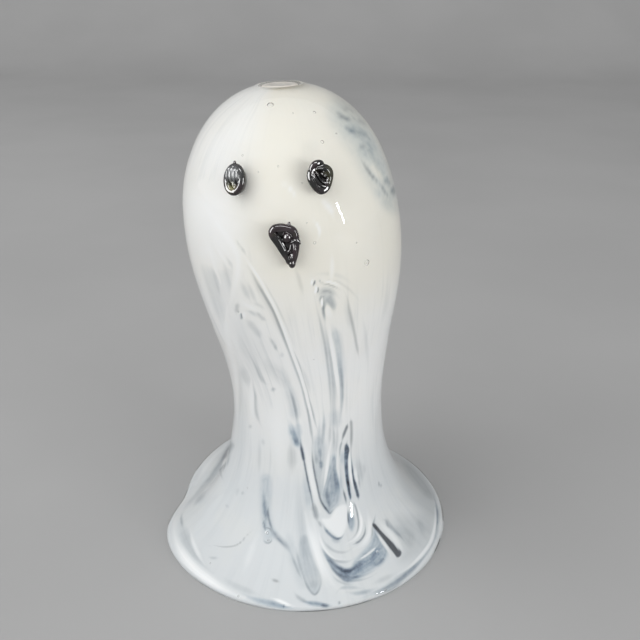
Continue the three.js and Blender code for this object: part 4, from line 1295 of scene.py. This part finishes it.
def wall_frame(turn, drop, roll):
    """The place and axes (across, up, out) of a bit on the bent wall."""
    turn = math.radians(turn)
    (radius, level), normal = wall_at(HEIGHT - drop * MM)
    seat = bend([circled(radius, turn, level)])[0]
    outward = Vector(circled(normal[0], turn, normal[1]))
    across = Vector((math.cos(turn), math.sin(turn), 0))
    across.rotate(Matrix.Rotation(math.radians(roll), 3, outward))
    axes = Matrix([across, outward.cross(across), outward]).transposed().to_4x4()
    return Matrix.Translation(Vector(seat)) @ axes @ Matrix.Scale(MM, 4)


def set_on_wall(piece, place):
    """Sets a bit on the wall, and draws up what would lie deeper in it than it is melted in."""
    piece.data.transform(wall_frame(**place))
    for vertex in piece.data.vertices:
        foot, normal, _, _ = casing_tree.find_nearest(vertex.co)
        if (vertex.co - foot).dot(normal) < -SUNK:
            vertex.co = foot - normal * SUNK
    piece.data.update()


TRAIL_OUT = 1.1
ROOT = -1.5

LEFT_EYE_PLACE = {"turn": -27.1, "drop": 21.7, "roll": 7}
RIGHT_EYE_PLACE = {"turn": 17.5, "drop": 20.7, "roll": 0}
MOUTH_PLACE = {"turn": -2.6, "drop": 37.6, "roll": 0}

LEFT_EYE_HALF = (2.2, 3.3)
LEFT_EYE_PLEATS = [(-1.6, 0.46), (-0.6, 0.5), (0.5, 0.5), (1.5, 0.46)]
RIGHT_EYE_LINE = [(0.3, 2.75), (2, 2.3), (2.7, 1.2), (2.4, -0.6), (1.4, -2.6), (0, -3.45),
                  (-1.2, -2.75), (-2.4, -0.8), (-2.65, 1), (-1.6, 2.4)]
MOUTH_LINE = [(1.8, -4.9), (0.5, -3.2), (-1.6, 0.5), (-3.2, 3.1), (-2.8, 4.6), (-1.3, 5.1),
              (0.6, 4.9), (2.1, 4.4), (2.8, 3), (3.1, 0.1), (2.8, -3), (2.2, -4.9)]


def add_painted_patch(piece, name, middle, half):
    """Stores how far a patch of painted reflection reaches round a place on a bit."""
    points = np.array([v.co for v in piece.data.vertices])
    store(piece.data, name, np.exp(-(((points[:, :2] - middle) / half) ** 2).sum(1)))
    return piece


def left_eye():
    wide, tall = LEFT_EYE_HALF
    angles = np.linspace(0, 2 * np.pi, 12, endpoint=False)
    oval = [(wide * math.sin(a), tall * math.cos(a), TRAIL_OUT) for a in angles]
    parts = [rope(oval, 1.02, closed=True), pad(oval, ROOT, 0.9), lump((0, 1.2, 0.9), (1.7, 2.3, 1.1))]
    for across, radius in LEFT_EYE_PLEATS:
        parts.append(rope([(across * 0.55, tall + 0.35, 1.55), (across * 0.9, tall - 0.9, 2.15),
                           (across, tall - 2.2, 2.3), (across, tall - 3.5, 2.0),
                           (across * 0.9, tall - 4.4, 1.4)], radius, blunt=0.3))
    parts += [
        rope([(-1.15, -1.2, 1.3), (-1.25, -2.3, 1.5), (-0.35, -3.0, 1.5), (0.6, -2.4, 1.5),
              (0.7, -1.3, 1.3)], 0.33, spacing=FINE),
        rope([(-0.7, -1.3, 1.2), (-0.2, -0.9, 1.7), (0.2, -1.6, 1.7), (-0.25, -2.1, 1.5)], 0.3,
             spacing=FINEST),
        rope([(-0.15, tall + 0.4, 1.2), (-0.2, tall + 1.75, 1.0)], 0.42),
    ]
    # Painted reflections: a grey sheen over the upper folds and an olive reflection in the lower pool.
    piece = add_painted_patch(melted("left_eye_bit", parts), "grey_painted_sheen", (0, 1.2), (1.9, 2.0))
    return add_painted_patch(piece, "olive_painted_reflection", (-0.3, -2.1), (0.9, 0.9))


def right_eye():
    outer = [(x, y, TRAIL_OUT) for x, y in RIGHT_EYE_LINE]
    parts = [
        rope(outer, 1.0, closed=True),
        pad(outer, ROOT, 0.7),
        rope([(-2.1, 1.9, 1.6), (-1.7, 0.1, 2.0), (-0.7, -1.7, 2.1), (0.6, -2.5, 2.0),
              (1.8, -1.7, 1.8), (2.2, -0.6, 1.6)], 0.42, spacing=FINE),
        rope([(-1.5, 1.5, 1.2), (-0.8, 1.1, 1.6), (-0.5, -0.2, 1.7), (0.3, -1.3, 1.7),
              (1.3, -1.4, 1.6), (1.8, -0.7, 1.4)], 0.36, spacing=FINE),
        rope([(-2.7, 2.0, 1.3), (-1.4, 3.4, 1.75), (0.2, 3.75, 1.7), (1.2, 3.2, 1.3)], 0.95),
        rope([(-1.3, 2.2, 2.0), (0.1, 2.1, 2.35), (1.5, 1.8, 2.4), (2.2, 0.7, 2.2), (2.1, -0.4, 1.7)],
             0.55, spacing=FINE),
        rope([(0.2, 1.5, 1.5), (0.6, 0.6, 1.9), (1.2, -0.2, 1.9)], 0.4, spacing=FINEST),
        lump((1.55, 1.2, 1.1), (1.2, 1.5, 1.15)),
        lump((0.9, 0.9, 1.3), (0.5, 0.7, 0.8)),
    ]
    return melted("right_eye_bit", parts)


def mouth():
    outer = [(x, y, TRAIL_OUT) for x, y in MOUTH_LINE]
    parts = [
        rope(outer, 1.1),
        pad(outer, ROOT, 0.6),
        lump((1.95, -4.7, 0.8), (1.0, 1.35, 1.25)),
        lump((1.65, -3.5, 0.7), (1.6, 1.9, 1.2)),
        lump((0.8, 2.5, 1.2), (1.35, 1.6, 1.55)),
        rope([(-2.7, 3.9, 1.7), (-1.5, 1.7, 1.9), (0.2, -1.4, 1.9), (1.2, -3.9, 1.7)], 0.42,
             spacing=FINE),
        rope([(-2.0, 3.6, 1.0), (-1.0, 1.9, 1.3), (0.1, -0.4, 1.6), (1.0, -2.0, 1.4)], 0.4,
             spacing=FINE),
        rope([(-0.1, 0.7, 1.2), (0.5, -0.9, 1.9), (0.95, -1.6, 1.9), (1.4, -0.7, 1.9), (1.7, 0.9, 1.6)],
             0.3, spacing=FINEST),
        rope([(2.3, 1.4, 1.7), (2.75, -0.6, 2.0), (2.6, -2.6, 1.9), (2.1, -4.0, 1.6)], 0.5),
        rope([(1.0, -2.4, 1.5), (1.5, -3.5, 1.85), (2.0, -2.4, 1.6)], 0.3, spacing=FINEST),
        rope([(1.5, 1.0, 1.6), (2.8, 1.7, 1.9), (4.3, 1.6, 1.3)], 0.42, spacing=FINE),
        rope([(3.1, 2.0, 1.5), (3.9, 1.3, 1.7), (4.2, 0.7, 1.3)], 0.3, spacing=FINEST),
        rope([(-2.6, 4.3, 1.7), (-1.2, 4.3, 1.95), (0.6, 4.5, 1.9), (2.2, 3.6, 1.8), (2.9, 2.2, 1.5)],
             0.38, spacing=FINE),
        rope([(0.9, 5.2, 1.0), (1.3, 6.7, 1.0)], 0.45),
    ]
    return melted("mouth_bit", parts)


def black_material():
    s = Shader("black_glass")
    purple = s.remap(s.noise(s.place(), 160, 2), 0.45, 0.65)
    olive = s.remap(s.noise(s.place(), 230, 1), 0.58, 0.7)
    base = s.mix(purple, (0.003, 0.003, 0.003, 1), (0.009, 0.006, 0.007, 1))
    base = s.mix(olive, base, (0.012, 0.012, 0.007, 1))
    # Painted reflections on the left eye: a grey sheen and an olive reflection.
    base = s.mix(s.attribute("grey_painted_sheen"), base, (0.06, 0.062, 0.064, 1))
    base = s.mix(s.attribute("olive_painted_reflection"), base, (0.09, 0.085, 0.045, 1))
    bsdf = s.add("BsdfPrincipled", Base_Color=base, Roughness=0.04, IOR=BLACK_IOR)
    return s.finish(bsdf.outputs[0])


black = black_material()
bits = bpy.data.collections.new("bits")
for make, place, node in ((left_eye, LEFT_EYE_PLACE, "left_eye"),
                          (right_eye, RIGHT_EYE_PLACE, "right_eye"), (mouth, MOUTH_PLACE, "mouth")):
    bit = make()
    set_on_wall(bit, place)
    dress(bit, black, node)
    bits.objects.link(bit)

# The punty's glass left in the crater


def scar_section():
    edge = SCAR_RADIUS - SCAR_WALL - FUSED
    base = SCAR_FLOOR - FUSED
    top = np.array([[edge, base], [edge, base + SCAR_EDGE], [edge - SCAR_RING, base + SCAR_GLASS],
                    [edge - 2 * SCAR_RING, base + SCAR_EDGE], [0, base + SCAR_EDGE]])
    return np.concatenate([[[0, base]], rounded(top)])


def punty_material():
    s = Shader("punty_glass")
    # The beige is partly painted reflection, the warm light that the scar mirrors, over a slight warm tint
    # of its own.
    beige = s.mix(s.remap(s.noise(s.place(), PUNTY_NOISE, 3), 0.35, 0.65), (0.84, 0.80, 0.73, 1),
                  (0.72, 0.67, 0.60, 1))
    bsdf = s.add("BsdfPrincipled", Base_Color=beige, Roughness=0.12, Transmission_Weight=0.1)
    s.roughen(bsdf, PUNTY_NOISE, PUNTY_UNEVENNESS)
    return s.finish(bsdf.outputs[0])


scar, _ = turned("punty_glass", scar_section(), turns_of([(0, 360, 96)]))
dress(scar, punty_material(), "pontil_scar")

# Seeds: small bubbles of air in the clear glass. Each is given by its pixel of the photograph, its
# half width and its depth under the glass's surface in millimetres.

SEEDS = [(270, 103, 0.95, 1.2), (323, 141, 0.5, 0.9), (368, 263, 0.9, 0.8), (242, 155, 0.3, 0.5),
         (278, 166, 0.25, 0.6), (258, 172, 0.2, 0.5), (315, 111, 0.45, 1.0), (302, 183, 0.2, 0.5),
         (315, 243, 0.42, 0.5), (357, 243, 0.25, 0.5), (307, 223, 0.2, 0.4), (337, 133, 0.3, 0.7),
         (293, 112, 0.25, 0.8), (267, 533, 0.5, 0.6), (268, 540, 0.35, 0.6), (247, 488, 0.18, 0.4),
         (210, 563, 0.25, 0.4), (313, 504, 0.25, 0.5), (238, 312, 0.3, 0.5), (314, 360, 0.15, 0.5),
         (386, 590, 0.35, 0.5), (378, 552, 0.25, 0.5), (238, 596, 0.3, 0.5), (384, 559, 0.25, 0.5)]
SEED_FLATNESS = 0.55


def make_seeds():
    verts = []
    faces = []
    middle = FRAME_PIXELS / 2
    for x, y, half, depth in SEEDS:
        ray = FORWARD + (RIGHT * (x - middle) + DOWN * (y - middle)) / FOCAL_PIXELS
        spot, normal, _, _ = casing_tree.ray_cast(CAMERA_AT, ray)
        turn = normal.to_track_quat("Z", "Y").to_matrix()
        shape, shell = lump((0, 0, 0), (half * MM, half * MM, half * SEED_FLATNESS * MM), 8, 12)
        faces.extend(tuple(len(verts) + v for v in face) for face in shell)
        verts.extend(tuple(spot - normal * depth * MM + turn @ Vector(v)) for v in shape)
    return mesh_object("seeds", verts, faces)


dress(make_seeds(), clear_material("seed_air", 1 / GLASS_IOR))

# Floor and backdrop in one sweep

FLOOR_SHADE = 0.42
FLOOR_GRAIN = 0.012
SWEEP_FRONT = -3.0
SWEEP_BACK = 1.1
SWEEP_RADIUS = 0.5
SWEEP_HALF = 3.0
SWEEP_TOP = 2.6


def make_sweep():
    arc = np.linspace(0, np.pi / 2, 17)
    profile = [(SWEEP_FRONT, 0.0)]
    profile += [(SWEEP_BACK + SWEEP_RADIUS * np.sin(a), SWEEP_RADIUS * (1 - np.cos(a))) for a in arc]
    profile.append((SWEEP_BACK + SWEEP_RADIUS, SWEEP_TOP))
    points = [(x, y, z) for x in (-SWEEP_HALF, SWEEP_HALF) for y, z in profile]
    count = len(profile)
    sweep = mesh_object("sweep", points, [(i, count + i, count + i + 1, i + 1) for i in range(count - 1)])
    s = Shader("sweep")
    grain = s.remap(s.noise(s.place(), 6, 3), 0.3, 0.7, FLOOR_SHADE - FLOOR_GRAIN,
                    FLOOR_SHADE + FLOOR_GRAIN)
    colour = s.add("CombineColor", Red=grain, Green=grain, Blue=grain).outputs[0]
    bsdf = s.add("BsdfPrincipled", Base_Color=colour, Roughness=0.7)
    sweep.data.materials.append(s.finish(bsdf.outputs[0]))


make_sweep()


LAMPS_FACE = (0, 0, 0.08)


def area_lamp(name, at, size, radiance, roll=0.0, glossy=True):
    """A rectangular lamp that faces the figure. Its power follows from its size and radiance."""
    data = bpy.data.lights.new(name, "AREA")
    data.shape = "RECTANGLE"
    data.size, data.size_y = size
    data.energy = radiance * math.pi * size[0] * size[1]
    lamp = bpy.data.objects.new(name, data)
    bpy.context.scene.collection.objects.link(lamp)
    lamp.location = at
    lamp.visible_glossy = glossy
    lamp.visible_transmission = glossy
    facing_turn = (Vector(LAMPS_FACE) - Vector(at)).to_track_quat("-Z", "Y")
    lamp.rotation_euler = (facing_turn @ Matrix.Rotation(roll, 3, "Z").to_quaternion()).to_euler()
    return lamp


KEY_LIGHT = 1.55
FILL_LIGHT = 3.4
OVERHEAD_LIGHT = 1.3
STRIP_LIGHT = 30
GLINT_LIGHT = 18
WORLD_LIGHT = 0.55

area_lamp("key", (-1.0, -0.85, 0.5), (1.3, 1.3), KEY_LIGHT, glossy=False)
area_lamp("fill", (1.0, -0.9, 0.25), (0.9, 0.9), FILL_LIGHT, glossy=False)
area_lamp("overhead", (-0.9, -0.1, 1.1), (1.3, 1.3), OVERHEAD_LIGHT, glossy=False)
area_lamp("strip", (2.01, -1.49, 0.42), (0.1, 0.52), STRIP_LIGHT, roll=0.28)

# Lamps that only the black glass shows, as it is dark and takes its look from what it mirrors
for name, at, size, radiance in (("glint_left", (-1.1, -0.55, 0.45), (0.9, 1.2), GLINT_LIGHT),
                                 ("glint_top", (-0.1, -0.6, 1.2), (1.0, 0.35), GLINT_LIGHT),
                                 ("glint_right", (0.9, -0.75, 0.35), (0.3, 0.6), 1.6 * GLINT_LIGHT)):
    area_lamp(name, at, size, radiance).light_linking.receiver_collection = bits

world = bpy.data.worlds.new("studio")
bpy.context.scene.world = world
world.use_nodes = True
background = world.node_tree.nodes["Background"]
background.inputs["Color"].default_value = (1, 1, 1, 1)
background.inputs["Strength"].default_value = WORLD_LIGHT

bpy.context.scene.view_settings.view_transform = "Standard"
